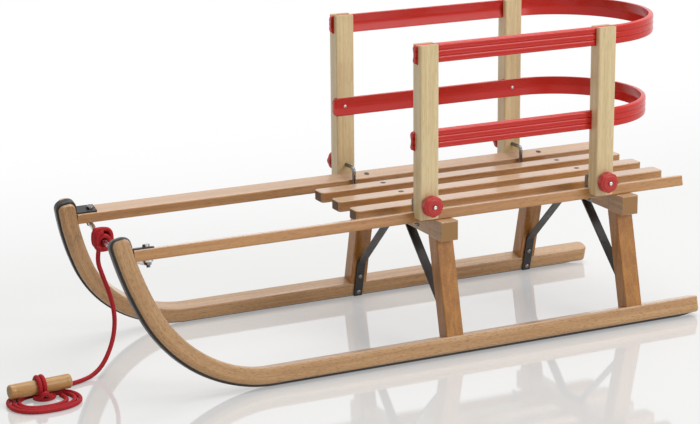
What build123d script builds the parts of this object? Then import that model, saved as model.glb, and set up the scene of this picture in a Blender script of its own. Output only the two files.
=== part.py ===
"""Wooden sled with a slatted seat, a clamp-on backrest and a pull rope.

Row frame: +X forward, +Y left, +Z up, millimetres.  The origin is on the floor
under the middle of the sled, measured without the rope and its handle.
Each side (runner, shoe, legs and outer slat) lies in one plane that leans inwards.
"""
import os
from math import cos, radians, sin, sqrt, tan

from build123d import *

os.makedirs("parts", exist_ok=True)

# Whole sled
LENGTH = 997.0
LEAN = 13.65
SIDE_Y = 179.0

# Runners and shoes, drawn in the leaning plane: x forward, u up the plane
RUNNER_WIDTH = 28.0
RUNNER_HEIGHT = 26.5
SHOE_THICKNESS = 3.5
SHOE_WIDTH = 14.0
SHOE_REAR_GAP = 12.0
BEND_RADIUS = 215.0
BEND_ANGLE = 65.8
TIP_RADIUS = 490.0
TIP_ANGLE = 78.8
TIP_ROUND = 9.0
TIP_BACK_ANGLE = 77.9
RUNNER_END_ROUND = 8.0
EASED_EDGE = 2.0

# Seat slats
SLAT_THICKNESS = 17.0
SLAT_WIDTH = 28.0
OUTER_SLAT_TOP = 230.4
SLAT_REAR_GAP = 5.4
INNER_SLAT_LENGTH = 568.0
INNER_SLAT_PITCH = 64.0
INNER_SLAT_WIDTH = 30.0
SEAT_TOP = 224.0
SLAT_END_ROUND = 6.0
NOTCH_DEPTH = 2.8
NOTCH_GAP = 0.5

# Yokes, legs and braces; stations are measured from the runners' rear ends
YOKE_FROM_REAR = {"front": 455.3, "rear": 125.0}
YOKE_LENGTH = 330.0
YOKE_THICKNESS = 30.0
YOKE_WAIST = 25.0
YOKE_WAIST_END = 126.0
YOKE_BOTTOM = 182.4
YOKE_END_TOP = 214.0
LEG_WIDTH = 30.0
LEG_THICKNESS = 26.5
BRACE_WIDTH = 15.0
BRACE_THICKNESS = 3.0
BRACE_FOOT = 6.0
BRACE_BEND = 70.0
BRACE_TOP_Y = 27.0
BRACE_END_Y = 4.0
BRACE_BEND_RADIUS = 12.0

# Plates on the slat fronts and the pull bar bolted under them
PLATE_LENGTH = 33.0
PLATE_GAP = 1.0
PLATE_WIDTH = 22.0
PLATE_THICKNESS = 2.5
BAR_RADIUS = 4.0
BAR_FROM_SLAT_END = 24.0
BAR_BOW = 10.0
BAR_STRAIGHT = 70.0
BAR_Z = 197.0
BAR_BEND_RADIUS = 40.0
BAR_SLAT_GAP = 0.2
BAR_END_V = 7.0
BAR_DROP_V = 22.0
BAR_EYE_RADIUS = 8.0
BAR_EYE_DEPTH = 3.0

# Backrest posts, measured from the runners' rear ends
POST_FROM_REAR = {"front": 488.0, "rear": 171.3}
POST_WIDTH = 32.0
POST_THICKNESS = 26.0
POST_OUTER_Y = 160.0
POST_TOP = 492.0
POST_FOOT = 220.0
POST_ROUND = 3.0
CLAMP_Z = 243.0

# Backrest bands
BAND_HEIGHT = 30.0
BAND_THICKNESS = 8.5
BAND_RIDGE = 1.2
BAND_AHEAD = 20.5
BAND_BEHIND = 9.3
LOWER_BAND_Z = 341.0
BAND_CLEARANCE = 0.2

# Clamp knobs and hook bolts
KNOB_LOBES = 8
KNOB_RADIUS = 17.0
KNOB_LOBE_RADIUS = 5.0
KNOB_SCALLOP = 1.4
KNOB_DEPTH = 17.0
KNOB_FACE_RADIUS = 12.5
KNOB_FACE_RISE = 2.0
HOOK_RADIUS = 3.0
HOOK_CLEARANCE = 0.2
HOOK_Y = 105.5
HOOK_LOW = 202.4
HOOK_TOE_Y = 121.0
HOOK_BEND_RADIUS = 7.0
HOOK_STICKS_OUT = 1.5

# Pull rope, its winding on the bar, its coil on the floor and its handle
ROPE_DIAMETER = 7.0
WINDING_RADIUS = 15.5
WINDING_Y = (-72.0, -4.0)
COIL_AHEAD = 145.5
COIL_Y = 100.0
COIL_OUTER = (58.0, 48.0)
COIL_INNER = (31.0, 19.0)
COIL_HEIGHT = 9.0
COIL_ROUND = 3.0
HANDLE_RADIUS = 11.0
HANDLE_LENGTH = 98.0
HANDLE_Y = 72.0
HANDLE_TURN = 5.0
HANDLE_END_ROUND = 3.0
HANDLE_GROOVE_FROM_END = 9.0
HANDLE_GROOVE_WIDTH = 3.0
HANDLE_GROOVE_DEPTH = 1.2
WRAP_WIDTH = 15.0
WRAP_RADIUS = 17.0
WRAP_LIFT = 3.0

# The leaning plane stands on the inner lower edge of the shoe
lean_s = sin(radians(LEAN))
lean_c = cos(radians(LEAN))
SIDE_Z = SHOE_WIDTH / 2 * lean_s
side = Plane(origin=(0, SIDE_Y, SIDE_Z), x_dir=(1, 0, 0), z_dir=(0, -lean_c, -lean_s))
up_side = Axis((0, 0, 0), side.y_dir)
RUNNER_TOP = SHOE_THICKNESS + RUNNER_HEIGHT
OUTER_SLAT_BOTTOM = OUTER_SLAT_TOP - SLAT_THICKNESS


def leaning(u, v):
    """Row (y, z) of a point u up the left plane and v outwards of it."""
    return (SIDE_Y - u * lean_s + v * lean_c, SIDE_Z + u * lean_c + v * lean_s)


left = {}
single = {}

# Runner outline: straight floor run, tight bend, gentle rise, rounded tip
bend_s, bend_c = sin(radians(BEND_ANGLE)), cos(radians(BEND_ANGLE))
tip_s, tip_c = sin(radians(TIP_ANGLE)), cos(radians(TIP_ANGLE))
FRONT_REACH = (BEND_RADIUS - TIP_RADIUS) * bend_s + (TIP_RADIUS - TIP_ROUND) * tip_s + TIP_ROUND + SHOE_THICKNESS
BEND_X = LENGTH / 2 - FRONT_REACH
bend_at = (BEND_X, SHOE_THICKNESS + BEND_RADIUS)
tip_at = (BEND_X + (BEND_RADIUS - TIP_RADIUS) * bend_s, bend_at[1] + (TIP_RADIUS - BEND_RADIUS) * bend_c)


def tip_point(radius, along=0.0, angle=TIP_ANGLE):
    """Point at a radius from the tip's centre, moved along the tip's direction."""
    s, c = sin(radians(angle)), cos(radians(angle))
    return (tip_at[0] + radius * s + along * c, tip_at[1] - radius * c + along * s)


corner_front = tip_point(TIP_RADIUS - TIP_ROUND)
corner_back = tip_point(TIP_RADIUS - RUNNER_HEIGHT + TIP_ROUND)
back_radius = TIP_RADIUS - RUNNER_HEIGHT
rear_x = -LENGTH / 2


def runner_back(u):
    """Where the runner's back face stands at a height up the leaning plane."""
    return tip_at[0] + sqrt(back_radius**2 - (tip_at[1] - u) ** 2)


slat_front = runner_back(OUTER_SLAT_BOTTOM) + NOTCH_DEPTH
slat_rear = rear_x + SLAT_REAR_GAP
slat_mid_u = OUTER_SLAT_TOP - SLAT_THICKNESS / 2

with BuildPart() as outer_slat:
    with BuildSketch(side):
        with Locations(((slat_front + slat_rear) / 2, slat_mid_u)):
            Rectangle(slat_front - slat_rear, SLAT_THICKNESS)
    extrude(amount=SLAT_WIDTH / 2, both=True)
    rear_edges = outer_slat.edges().filter_by(up_side).sort_by(Axis.X)[:2]
    fillet(rear_edges, SLAT_END_ROUND)
    fillet(outer_slat.edges().filter_by(Axis.X), EASED_EDGE)
left["outer_slat"] = outer_slat.part

with BuildPart() as runner:
    with BuildSketch(side):
        with BuildLine():
            Line((rear_x, SHOE_THICKNESS), (BEND_X, SHOE_THICKNESS))
            CenterArc(bend_at, BEND_RADIUS, -90, BEND_ANGLE)
            CenterArc(tip_at, TIP_RADIUS, BEND_ANGLE - 90, TIP_ANGLE - BEND_ANGLE)
            CenterArc(corner_front, TIP_ROUND, TIP_ANGLE - 90, 90)
            Line(tip_point(TIP_RADIUS - TIP_ROUND, TIP_ROUND), tip_point(back_radius + TIP_ROUND, TIP_ROUND))
            CenterArc(corner_back, TIP_ROUND, TIP_ANGLE, 90)
            CenterArc(tip_at, back_radius, TIP_ANGLE - 90, BEND_ANGLE - TIP_ANGLE)
            CenterArc(bend_at, BEND_RADIUS - RUNNER_HEIGHT, BEND_ANGLE - 90, -BEND_ANGLE)
            Line((BEND_X, RUNNER_TOP), (rear_x, RUNNER_TOP))
            Line((rear_x, RUNNER_TOP), (rear_x, SHOE_THICKNESS))
        make_face()
    extrude(amount=RUNNER_WIDTH / 2, both=True)
    rear_edges = runner.edges().filter_by(up_side).sort_by(Axis.X)[:2]
    fillet(rear_edges, RUNNER_END_ROUND)
    side_faces = runner.faces().filter_by(Axis((0, 0, 0), side.z_dir))
    fillet(side_faces.edges().filter_by(up_side, reverse=True), EASED_EDGE)
    with BuildSketch(side):
        with Locations((slat_front + NOTCH_GAP - SLAT_WIDTH, slat_mid_u)):
            Rectangle(SLAT_WIDTH * 2, SLAT_THICKNESS + 2 * NOTCH_GAP)
    extrude(amount=RUNNER_WIDTH, both=True, mode=Mode.SUBTRACT)
left["runner"] = runner.part

with BuildPart() as shoe:
    with BuildSketch(side):
        with BuildLine():
            shoe_rear = rear_x + SHOE_REAR_GAP
            Line((shoe_rear, SHOE_THICKNESS), (shoe_rear, 0))
            Line((shoe_rear, 0), (BEND_X, 0))
            CenterArc(bend_at, BEND_RADIUS + SHOE_THICKNESS, -90, BEND_ANGLE)
            CenterArc(tip_at, TIP_RADIUS + SHOE_THICKNESS, BEND_ANGLE - 90, TIP_ANGLE - BEND_ANGLE)
            CenterArc(corner_front, TIP_ROUND + SHOE_THICKNESS, TIP_ANGLE - 90, 90)
            over_tip = TIP_ROUND + SHOE_THICKNESS
            Line(tip_point(TIP_RADIUS - TIP_ROUND, over_tip), tip_point(back_radius + TIP_ROUND, over_tip))
            CenterArc(corner_back, over_tip, TIP_ANGLE, 90)
            CenterArc(tip_at, back_radius - SHOE_THICKNESS, TIP_ANGLE - 90, TIP_BACK_ANGLE - TIP_ANGLE)
            Line(
                tip_point(back_radius - SHOE_THICKNESS, angle=TIP_BACK_ANGLE),
                tip_point(back_radius, angle=TIP_BACK_ANGLE),
            )
            CenterArc(tip_at, back_radius, TIP_BACK_ANGLE - 90, TIP_ANGLE - TIP_BACK_ANGLE)
            CenterArc(corner_back, TIP_ROUND, TIP_ANGLE + 90, -90)
            Line(tip_point(back_radius + TIP_ROUND, TIP_ROUND), tip_point(TIP_RADIUS - TIP_ROUND, TIP_ROUND))
            CenterArc(corner_front, TIP_ROUND, TIP_ANGLE, -90)
            CenterArc(tip_at, TIP_RADIUS, TIP_ANGLE - 90, BEND_ANGLE - TIP_ANGLE)
            CenterArc(bend_at, BEND_RADIUS, BEND_ANGLE - 90, -BEND_ANGLE)
            Line((BEND_X, SHOE_THICKNESS), (shoe_rear, SHOE_THICKNESS))
        make_face()
    extrude(amount=SHOE_WIDTH / 2, both=True)
left["runner_shoe"] = shoe.part

plate_u = OUTER_SLAT_TOP + PLATE_THICKNESS / 2
plate_front = runner_back(OUTER_SLAT_TOP) - PLATE_GAP
with BuildPart() as tip_plate:
    with BuildSketch(side):
        with Locations((plate_front - PLATE_LENGTH / 2, plate_u)):
            Rectangle(PLATE_LENGTH, PLATE_THICKNESS)
    extrude(amount=PLATE_WIDTH / 2, both=True)
left["tip_plate"] = tip_plate.part

# Inner slats
for name, row in {"left": 1, "center": 0, "right": -1}.items():
    with BuildPart() as inner_slat:
        slat_middle = (slat_rear + INNER_SLAT_LENGTH / 2, row * INNER_SLAT_PITCH, SEAT_TOP - SLAT_THICKNESS / 2)
        with Locations(slat_middle):
            Box(INNER_SLAT_LENGTH, INNER_SLAT_WIDTH, SLAT_THICKNESS)
        fillet(inner_slat.edges().filter_by(Axis.Z), SLAT_END_ROUND)
        fillet(inner_slat.edges().filter_by(Axis.X), EASED_EDGE)
    single[f"inner_slat_{name}"] = inner_slat.part

# Yokes: a flat middle under the inner slats and leaning seats under the outer slats
seat_inner = leaning(OUTER_SLAT_BOTTOM, -SLAT_WIDTH / 2 - 1.5)
seat_outer = leaning(OUTER_SLAT_BOTTOM, SLAT_WIDTH / 2 + 1.0)
yoke_flat = SEAT_TOP - SLAT_THICKNESS
half_yoke = YOKE_LENGTH / 2
yoke_half = [
    (half_yoke, YOKE_BOTTOM),
    (half_yoke, YOKE_END_TOP),
    seat_outer,
    seat_inner,
    (INNER_SLAT_PITCH + INNER_SLAT_WIDTH / 2 + 6, yoke_flat),
]
yoke_outline = yoke_half + [(-y, z) for y, z in reversed(yoke_half)]
stations = {name: rear_x + ahead for name, ahead in YOKE_FROM_REAR.items()}
for name, x in stations.items():
    with BuildPart() as yoke:
        with BuildSketch(Plane.YZ.offset(x)):
            with BuildLine():
                Polyline(*yoke_outline, close=True)
            make_face()
        extrude(amount=YOKE_THICKNESS / 2, both=True)
        end_faces = yoke.faces().sort_by(Axis.Y)
        fillet(end_faces[0].edges() + end_faces[-1].edges(), EASED_EDGE)
        for face_x, way in ((x + YOKE_THICKNESS / 2, 1), (x - YOKE_THICKNESS / 2, -1)):
            with BuildSketch(Plane.YZ.offset(face_x)):
                with BuildLine():
                    slant = (YOKE_END_TOP - YOKE_BOTTOM) * tan(radians(LEAN)) * 2
                    Polyline(
                        (YOKE_WAIST_END, YOKE_BOTTOM - 1),
                        (YOKE_WAIST_END - slant, YOKE_END_TOP + 1),
                        (slant - YOKE_WAIST_END, YOKE_END_TOP + 1),
                        (-YOKE_WAIST_END, YOKE_BOTTOM - 1),
                        close=True,
                    )
                make_face()
            extrude(amount=-way * (YOKE_THICKNESS - YOKE_WAIST) / 2, mode=Mode.SUBTRACT)
    single[f"yoke_{name}"] = yoke.part

# Legs: inner faces flush with the runner's, tops cut level under the yoke
leg_out = LEG_THICKNESS - RUNNER_WIDTH / 2
for name, x in stations.items():
    with BuildPart() as leg:
        with BuildSketch(side.offset(-leg_out)):
            with Locations((x, (RUNNER_TOP + OUTER_SLAT_BOTTOM) / 2)):
                Rectangle(LEG_WIDTH, OUTER_SLAT_BOTTOM - RUNNER_TOP)
        extrude(amount=LEG_THICKNESS)
        fillet(leg.edges().filter_by(up_side), EASED_EDGE)
        split(bisect_by=Plane.XY.offset(YOKE_BOTTOM), keep=Keep.BOTTOM)
    left[f"leg_{name}"] = leg.part

    brace_path = [
        leaning(BRACE_FOOT, -RUNNER_WIDTH / 2),
        leaning(BRACE_BEND, -RUNNER_WIDTH / 2),
        (BRACE_TOP_Y, YOKE_BOTTOM),
        (BRACE_END_Y, YOKE_BOTTOM),
    ]
    with BuildPart() as brace:
        with BuildSketch(Plane.YZ.offset(x)):
            with BuildLine():
                FilletPolyline(*brace_path, radius=BRACE_BEND_RADIUS)
                offset(amount=BRACE_THICKNESS, side=Side.LEFT)
            make_face()
        extrude(amount=BRACE_WIDTH / 2, both=True)
    left[f"brace_{name}"] = brace.part

# Pull bar: its ends follow the slats' undersides to a flat eye under each
eye_y, eye_z = leaning(OUTER_SLAT_BOTTOM, 0)
bar_x = slat_front - BAR_FROM_SLAT_END
bar_front = bar_x + BAR_BOW
bar_u = OUTER_SLAT_BOTTOM - BAR_SLAT_GAP - BAR_RADIUS
bar_end = leaning(bar_u, -BAR_END_V)
bar_drop = leaning(bar_u, -BAR_DROP_V)
with BuildPart() as pull_bar:
    with BuildLine() as bar_path:
        FilletPolyline(
            (bar_x, bar_end[0], bar_end[1]),
            (bar_x, bar_drop[0], bar_drop[1]),
            (bar_front, BAR_STRAIGHT, BAR_Z),
            (bar_front, -BAR_STRAIGHT, BAR_Z),
            (bar_x, -bar_drop[0], bar_drop[1]),
            (bar_x, -bar_end[0], bar_end[1]),
            radius=BAR_BEND_RADIUS,
        )
    with BuildSketch(Plane(origin=bar_path.line @ 0, z_dir=bar_path.line % 0)):
        Circle(BAR_RADIUS)
    sweep(path=bar_path.line)
    for way in (1, -1):
        eye_plane = Plane(origin=(bar_x, way * eye_y, eye_z), x_dir=(1, 0, 0), z_dir=(0, way * lean_s, -lean_c))
        with BuildSketch(eye_plane):
            Circle(BAR_EYE_RADIUS)
        extrude(amount=BAR_EYE_DEPTH)
single["pull_bar"] = pull_bar.part

# Bands: a ridged strip bent into a U that is open to the front
half_h, half_t = BAND_HEIGHT / 2, BAND_THICKNESS / 2
groove = half_t - BAND_RIDGE
band_profile = [
    (half_t - 0.8, half_h),
    (half_t, half_h - 1),
    (half_t, 6.4),
    (groove, 5.6),
    (groove, 4.2),
    (half_t, 3.4),
    (half_t, -3.4),
    (groove, -4.2),
    (groove, -5.6),
    (half_t, -6.4),
    (half_t, 1 - half_h),
    (half_t - 0.8, -half_h),
    (2 - half_t, -half_h),
    (1.2 - half_t, 1 - half_h),
    (-half_t, -1),
    (1.2 - half_t, half_h - 1),
    (2 - half_t, half_h),
]
UPPER_BAND_Y = POST_OUTER_Y - POST_THICKNESS / 2
LOWER_BAND_Y = POST_OUTER_Y - POST_THICKNESS + BAND_THICKNESS / 2
UPPER_BAND_Z = POST_TOP - BAND_HEIGHT / 2
bands = {"upper": (UPPER_BAND_Y, UPPER_BAND_Z), "lower": (LOWER_BAND_Y, LOWER_BAND_Z)}
posts = {name: rear_x + ahead for name, ahead in POST_FROM_REAR.items()}
band_front = posts["front"] + BAND_AHEAD
arc_x = posts["rear"] - BAND_BEHIND
for name, (y, z) in bands.items():
    with BuildPart() as band:
        with BuildLine() as band_path:
            Line((band_front, y, z), (arc_x, y, z))
            ThreePointArc((arc_x, y, z), (arc_x - y, 0, z), (arc_x, -y, z))
            Line((arc_x, -y, z), (band_front, -y, z))
        with BuildSketch(Plane(origin=(band_front, y, z), x_dir=(0, 1, 0), z_dir=(-1, 0, 0))):
            with BuildLine():
                Polyline(*[(out, -up) for out, up in band_profile], close=True)
            make_face()
        sweep(path=band_path.line)
    single[f"band_{name}"] = band.part

# Posts: notched over the outer slat, slotted for the upper band, grooved for the lower
post_mid_y = POST_OUTER_Y - POST_THICKNESS / 2
for name, x in posts.items():
    with BuildPart() as post:
        with Locations((x, post_mid_y, (POST_TOP + POST_FOOT) / 2)):
            Box(POST_WIDTH, POST_THICKNESS, POST_TOP - POST_FOOT)
        fillet(post.edges().filter_by(Axis.Z), POST_ROUND)
        with Locations((x, UPPER_BAND_Y, UPPER_BAND_Z)):
            Box(POST_WIDTH, BAND_THICKNESS + 2 * BAND_CLEARANCE, BAND_HEIGHT, mode=Mode.SUBTRACT)
        with Locations((x, LOWER_BAND_Y - BAND_CLEARANCE / 2, LOWER_BAND_Z)):
            Box(
                POST_WIDTH,
                BAND_THICKNESS + BAND_CLEARANCE,
                BAND_HEIGHT + 2 * BAND_CLEARANCE,
                mode=Mode.SUBTRACT,
            )
        with Locations(Plane.XZ.offset(-post_mid_y) * Location((x, CLAMP_Z))):
            Cylinder(HOOK_RADIUS + HOOK_CLEARANCE, POST_THICKNESS * 2, mode=Mode.SUBTRACT)
        with BuildSketch(side):
            with Locations((x, slat_mid_u)):
                Rectangle(POST_WIDTH * 2, SLAT_THICKNESS)
        extrude(amount=SLAT_WIDTH / 2, both=True, mode=Mode.SUBTRACT)
    left[f"post_{name}"] = post.part

    knob_plane = Plane(origin=(x, POST_OUTER_Y, CLAMP_Z), x_dir=(1, 0, 0), z_dir=(0, 1, 0))
    with BuildPart() as knob:
        with BuildSketch(knob_plane):
            Circle(KNOB_RADIUS - KNOB_SCALLOP)
            with PolarLocations(KNOB_RADIUS - KNOB_LOBE_RADIUS, KNOB_LOBES):
                Circle(KNOB_LOBE_RADIUS)
        extrude(amount=KNOB_DEPTH - KNOB_FACE_RISE)
        with BuildSketch(knob_plane):
            Circle(KNOB_FACE_RADIUS)
        extrude(amount=KNOB_DEPTH)
        with BuildSketch(knob_plane):
            Circle(HOOK_RADIUS + HOOK_CLEARANCE)
        extrude(amount=KNOB_DEPTH, mode=Mode.SUBTRACT)
    left[f"knob_{name}"] = knob.part

    with BuildPart() as hook:
        with BuildLine(Plane.YZ.offset(x)) as hook_path:
            FilletPolyline(
                (POST_OUTER_Y + KNOB_DEPTH + HOOK_STICKS_OUT, CLAMP_Z),
                (HOOK_Y, CLAMP_Z),
                (HOOK_Y, HOOK_LOW),
                (HOOK_TOE_Y, HOOK_LOW),
                radius=HOOK_BEND_RADIUS,
            )
        with BuildSketch(Plane(origin=hook_path.line @ 0, z_dir=hook_path.line % 0)):
            Circle(HOOK_RADIUS)
        sweep(path=hook_path.line)
    left[f"hook_bolt_{name}"] = hook.part

# Rope winding on the straight run of the pull bar
winding_middle = (WINDING_Y[0] + WINDING_Y[1]) / 2
with BuildPart() as winding:
    with Locations(Plane.XZ.offset(-winding_middle) * Location((bar_front, BAR_Z))):
        Cylinder(WINDING_RADIUS, WINDING_Y[1] - WINDING_Y[0])
    add(pull_bar.part, mode=Mode.SUBTRACT)
single["rope_winding"] = winding.part

# Coil on the floor: the outer shape of the rope's loose turns
coil_centre = (bar_front + COIL_AHEAD, COIL_Y)
with BuildPart() as coil:
    with BuildSketch():
        with Locations(coil_centre):
            Ellipse(*COIL_OUTER)
            Ellipse(*COIL_INNER, mode=Mode.SUBTRACT)
    extrude(amount=COIL_HEIGHT)
    fillet(coil.edges(), COIL_ROUND)
single["rope_coil"] = coil.part

# Handle lying on the coil, with the rope laid over its middle
handle_plane = Plane(
    origin=(coil_centre[0], HANDLE_Y, COIL_HEIGHT + HANDLE_RADIUS),
    x_dir=(0, 0, 1),
    z_dir=(cos(radians(HANDLE_TURN)), sin(radians(HANDLE_TURN)), 0),
)
with BuildPart() as handle:
    with BuildSketch(handle_plane):
        Circle(HANDLE_RADIUS)
    extrude(amount=HANDLE_LENGTH / 2, both=True)
    fillet(handle.edges().filter_by(GeomType.CIRCLE), HANDLE_END_ROUND)
    for way in (1, -1):
        groove_at = way * (HANDLE_LENGTH / 2 - HANDLE_GROOVE_FROM_END)
        with BuildSketch(handle_plane.offset(groove_at)):
            Circle(HANDLE_RADIUS)
            Circle(HANDLE_RADIUS - HANDLE_GROOVE_DEPTH, mode=Mode.SUBTRACT)
        extrude(amount=HANDLE_GROOVE_WIDTH / 2, both=True, mode=Mode.SUBTRACT)
single["pull_handle"] = handle.part

with BuildPart() as wrap:
    with BuildSketch(handle_plane):
        Circle(WRAP_RADIUS)
        Circle(HANDLE_RADIUS, mode=Mode.SUBTRACT)
    extrude(amount=WRAP_WIDTH / 2, both=True)
    split(bisect_by=Plane.XY.offset(COIL_HEIGHT + WRAP_LIFT), keep=Keep.TOP)
single["handle_wrap"] = wrap.part

# Free rope from the winding down to the floor and on to the coil
rope_low = ROPE_DIAMETER / 2 + 0.1
rope_route = [
    (bar_front + WINDING_RADIUS - 3, -12, BAR_Z - 2),
    (bar_front + WINDING_RADIUS + 2.5, -12, 176),
    (bar_front + 12, -10, 150),
    (bar_front + 2, -7, 118),
    (bar_front - 2, -2, 88),
    (bar_front + 1, 4, 60),
    (bar_front + 9, 10, 34),
    (bar_front + 22, 18, 12),
    (bar_front + 40, 30, rope_low),
    (bar_front + 62, 44, rope_low),
    (bar_front + 88, 52, rope_low),
    (bar_front + 120, 67, rope_low),
]


def turn_radii(points, share=0.45):
    """Largest tidy bend at each inner point of a route."""
    radii = []
    for a, b, c in zip(points, points[1:], points[2:]):
        back, ahead = Vector(b) - Vector(a), Vector(c) - Vector(b)
        half_turn = radians(back.get_angle(ahead)) / 2
        radii.append(share * min(back.length, ahead.length) / tan(half_turn))
    return radii


rope_radii = turn_radii(rope_route)
print("rope bend radii", [round(r, 1) for r in rope_radii])
with BuildPart() as rope:
    with BuildLine() as rope_path:
        FilletPolyline(*rope_route, radius=rope_radii)
    with BuildSketch(Plane(origin=rope_path.line @ 0, z_dir=rope_path.line % 0)):
        Circle(ROPE_DIAMETER / 2)
    sweep(path=rope_path.line)
    add(winding.part, mode=Mode.SUBTRACT)
    add(coil.part, mode=Mode.SUBTRACT)
print("free rope length", round(rope_path.wires()[0].length, 1))
single["pull_rope"] = rope.part

for name, part in left.items():
    part.label = f"{name}_left"
    export_step(part, f"parts/{name}_left.step")
    with BuildPart() as other_side:
        mirror(part, about=Plane.XZ)
    other_side.part.label = f"{name}_right"
    export_step(other_side.part, f"parts/{name}_right.step")

for name, part in single.items():
    part.label = name
    export_step(part, f"parts/{name}.step")
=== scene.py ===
"""Wooden sled with a clamp-on backrest and a pull rope, dressed round its CAD frame.

Row frame in metres: +X forward, +Y left, +Z up, the floor at z = 0. The sizes that the
sub-assemblies hold are millimetres, and those of the studio are metres.
"""

import logging
import math
from dataclasses import dataclass
from enum import Enum

import bmesh
import bpy
import numpy as np
from mathutils import Matrix, Vector


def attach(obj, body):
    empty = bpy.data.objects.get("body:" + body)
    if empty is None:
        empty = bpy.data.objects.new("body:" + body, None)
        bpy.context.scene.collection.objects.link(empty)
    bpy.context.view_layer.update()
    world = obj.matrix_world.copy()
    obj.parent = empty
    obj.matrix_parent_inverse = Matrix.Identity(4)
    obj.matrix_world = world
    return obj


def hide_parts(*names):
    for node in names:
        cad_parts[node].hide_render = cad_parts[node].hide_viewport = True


LOG = logging.getLogger("sled")
MM = 0.001
BODY = "root"
UP = np.array([0.0, 0.0, 1.0])
SAME_PLACE = 1e-6
ROUND_TURN = 2 * math.pi
OUTER_SLAT_TOP = 230.4

# Points of a ringed surface, its number of rings and the points in a ring.
Rings = tuple[np.ndarray, int, int]

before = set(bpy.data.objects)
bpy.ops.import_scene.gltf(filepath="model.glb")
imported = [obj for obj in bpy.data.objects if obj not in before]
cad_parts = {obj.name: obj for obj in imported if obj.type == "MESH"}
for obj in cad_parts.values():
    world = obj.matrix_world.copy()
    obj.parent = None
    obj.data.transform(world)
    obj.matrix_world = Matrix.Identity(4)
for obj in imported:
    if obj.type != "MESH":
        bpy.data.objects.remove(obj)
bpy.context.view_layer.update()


def linear(hex_colour: str) -> tuple[float, float, float, float]:
    """Turn an sRGB hex colour into linear RGBA.

    Args:
        hex_colour: colour such as "#c9a070".

    Returns:
        Linear red, green, blue and an alpha of one.
    """
    srgb = np.array([int(hex_colour[i:i + 2], 16) for i in (1, 3, 5)]) / 255.0
    rgb = np.where(srgb <= 0.04045, srgb / 12.92, ((srgb + 0.055) / 1.055) ** 2.4)
    return (float(rgb[0]), float(rgb[1]), float(rgb[2]), 1.0)


def add_node(tree: bpy.types.NodeTree, kind: str, settings: dict | None = None,
             inputs: dict | None = None) -> bpy.types.Node:
    """Add one node, set its properties, and set or link its inputs.

    Args:
        tree: node tree that takes the node.
        kind: Blender's node type.
        settings: property names and values.
        inputs: socket names or numbers, each with a value or an output socket to link from.

    Returns:
        The new node.
    """
    node = tree.nodes.new(kind)
    for key, value in (settings or {}).items():
        setattr(node, key, value)
    for key, value in (inputs or {}).items():
        if isinstance(value, bpy.types.NodeSocket):
            tree.links.new(value, node.inputs[key])
        else:
            node.inputs[key].default_value = value
    return node


def blank_material(name: str) -> tuple[bpy.types.Material, bpy.types.NodeTree]:
    """Make a node material whose tree is still empty.

    Args:
        name: the material's name.

    Returns:
        The material and its tree.
    """
    material = bpy.data.materials.new(name)
    material.use_nodes = True
    material.node_tree.nodes.clear()
    return material, material.node_tree


class Grain(Enum):
    """Which way the wood's fibres run: the axis that cut ends face and a turn of Object coordinates."""

    ALONG_X = ("X", (0.0, 0.0, 0.0))
    ALONG_Y = ("Y", (0.0, 0.0, -math.pi / 2))
    ALONG_Z = ("Z", (0.0, math.pi / 2, 0.0))
    ALONG_PATH = (None, None)

    def __init__(self, axis: str | None, turn: tuple[float, float, float] | None) -> None:
        """Keep the axis and the turn under their names."""
        self.axis = axis
        self.turn = turn


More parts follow.
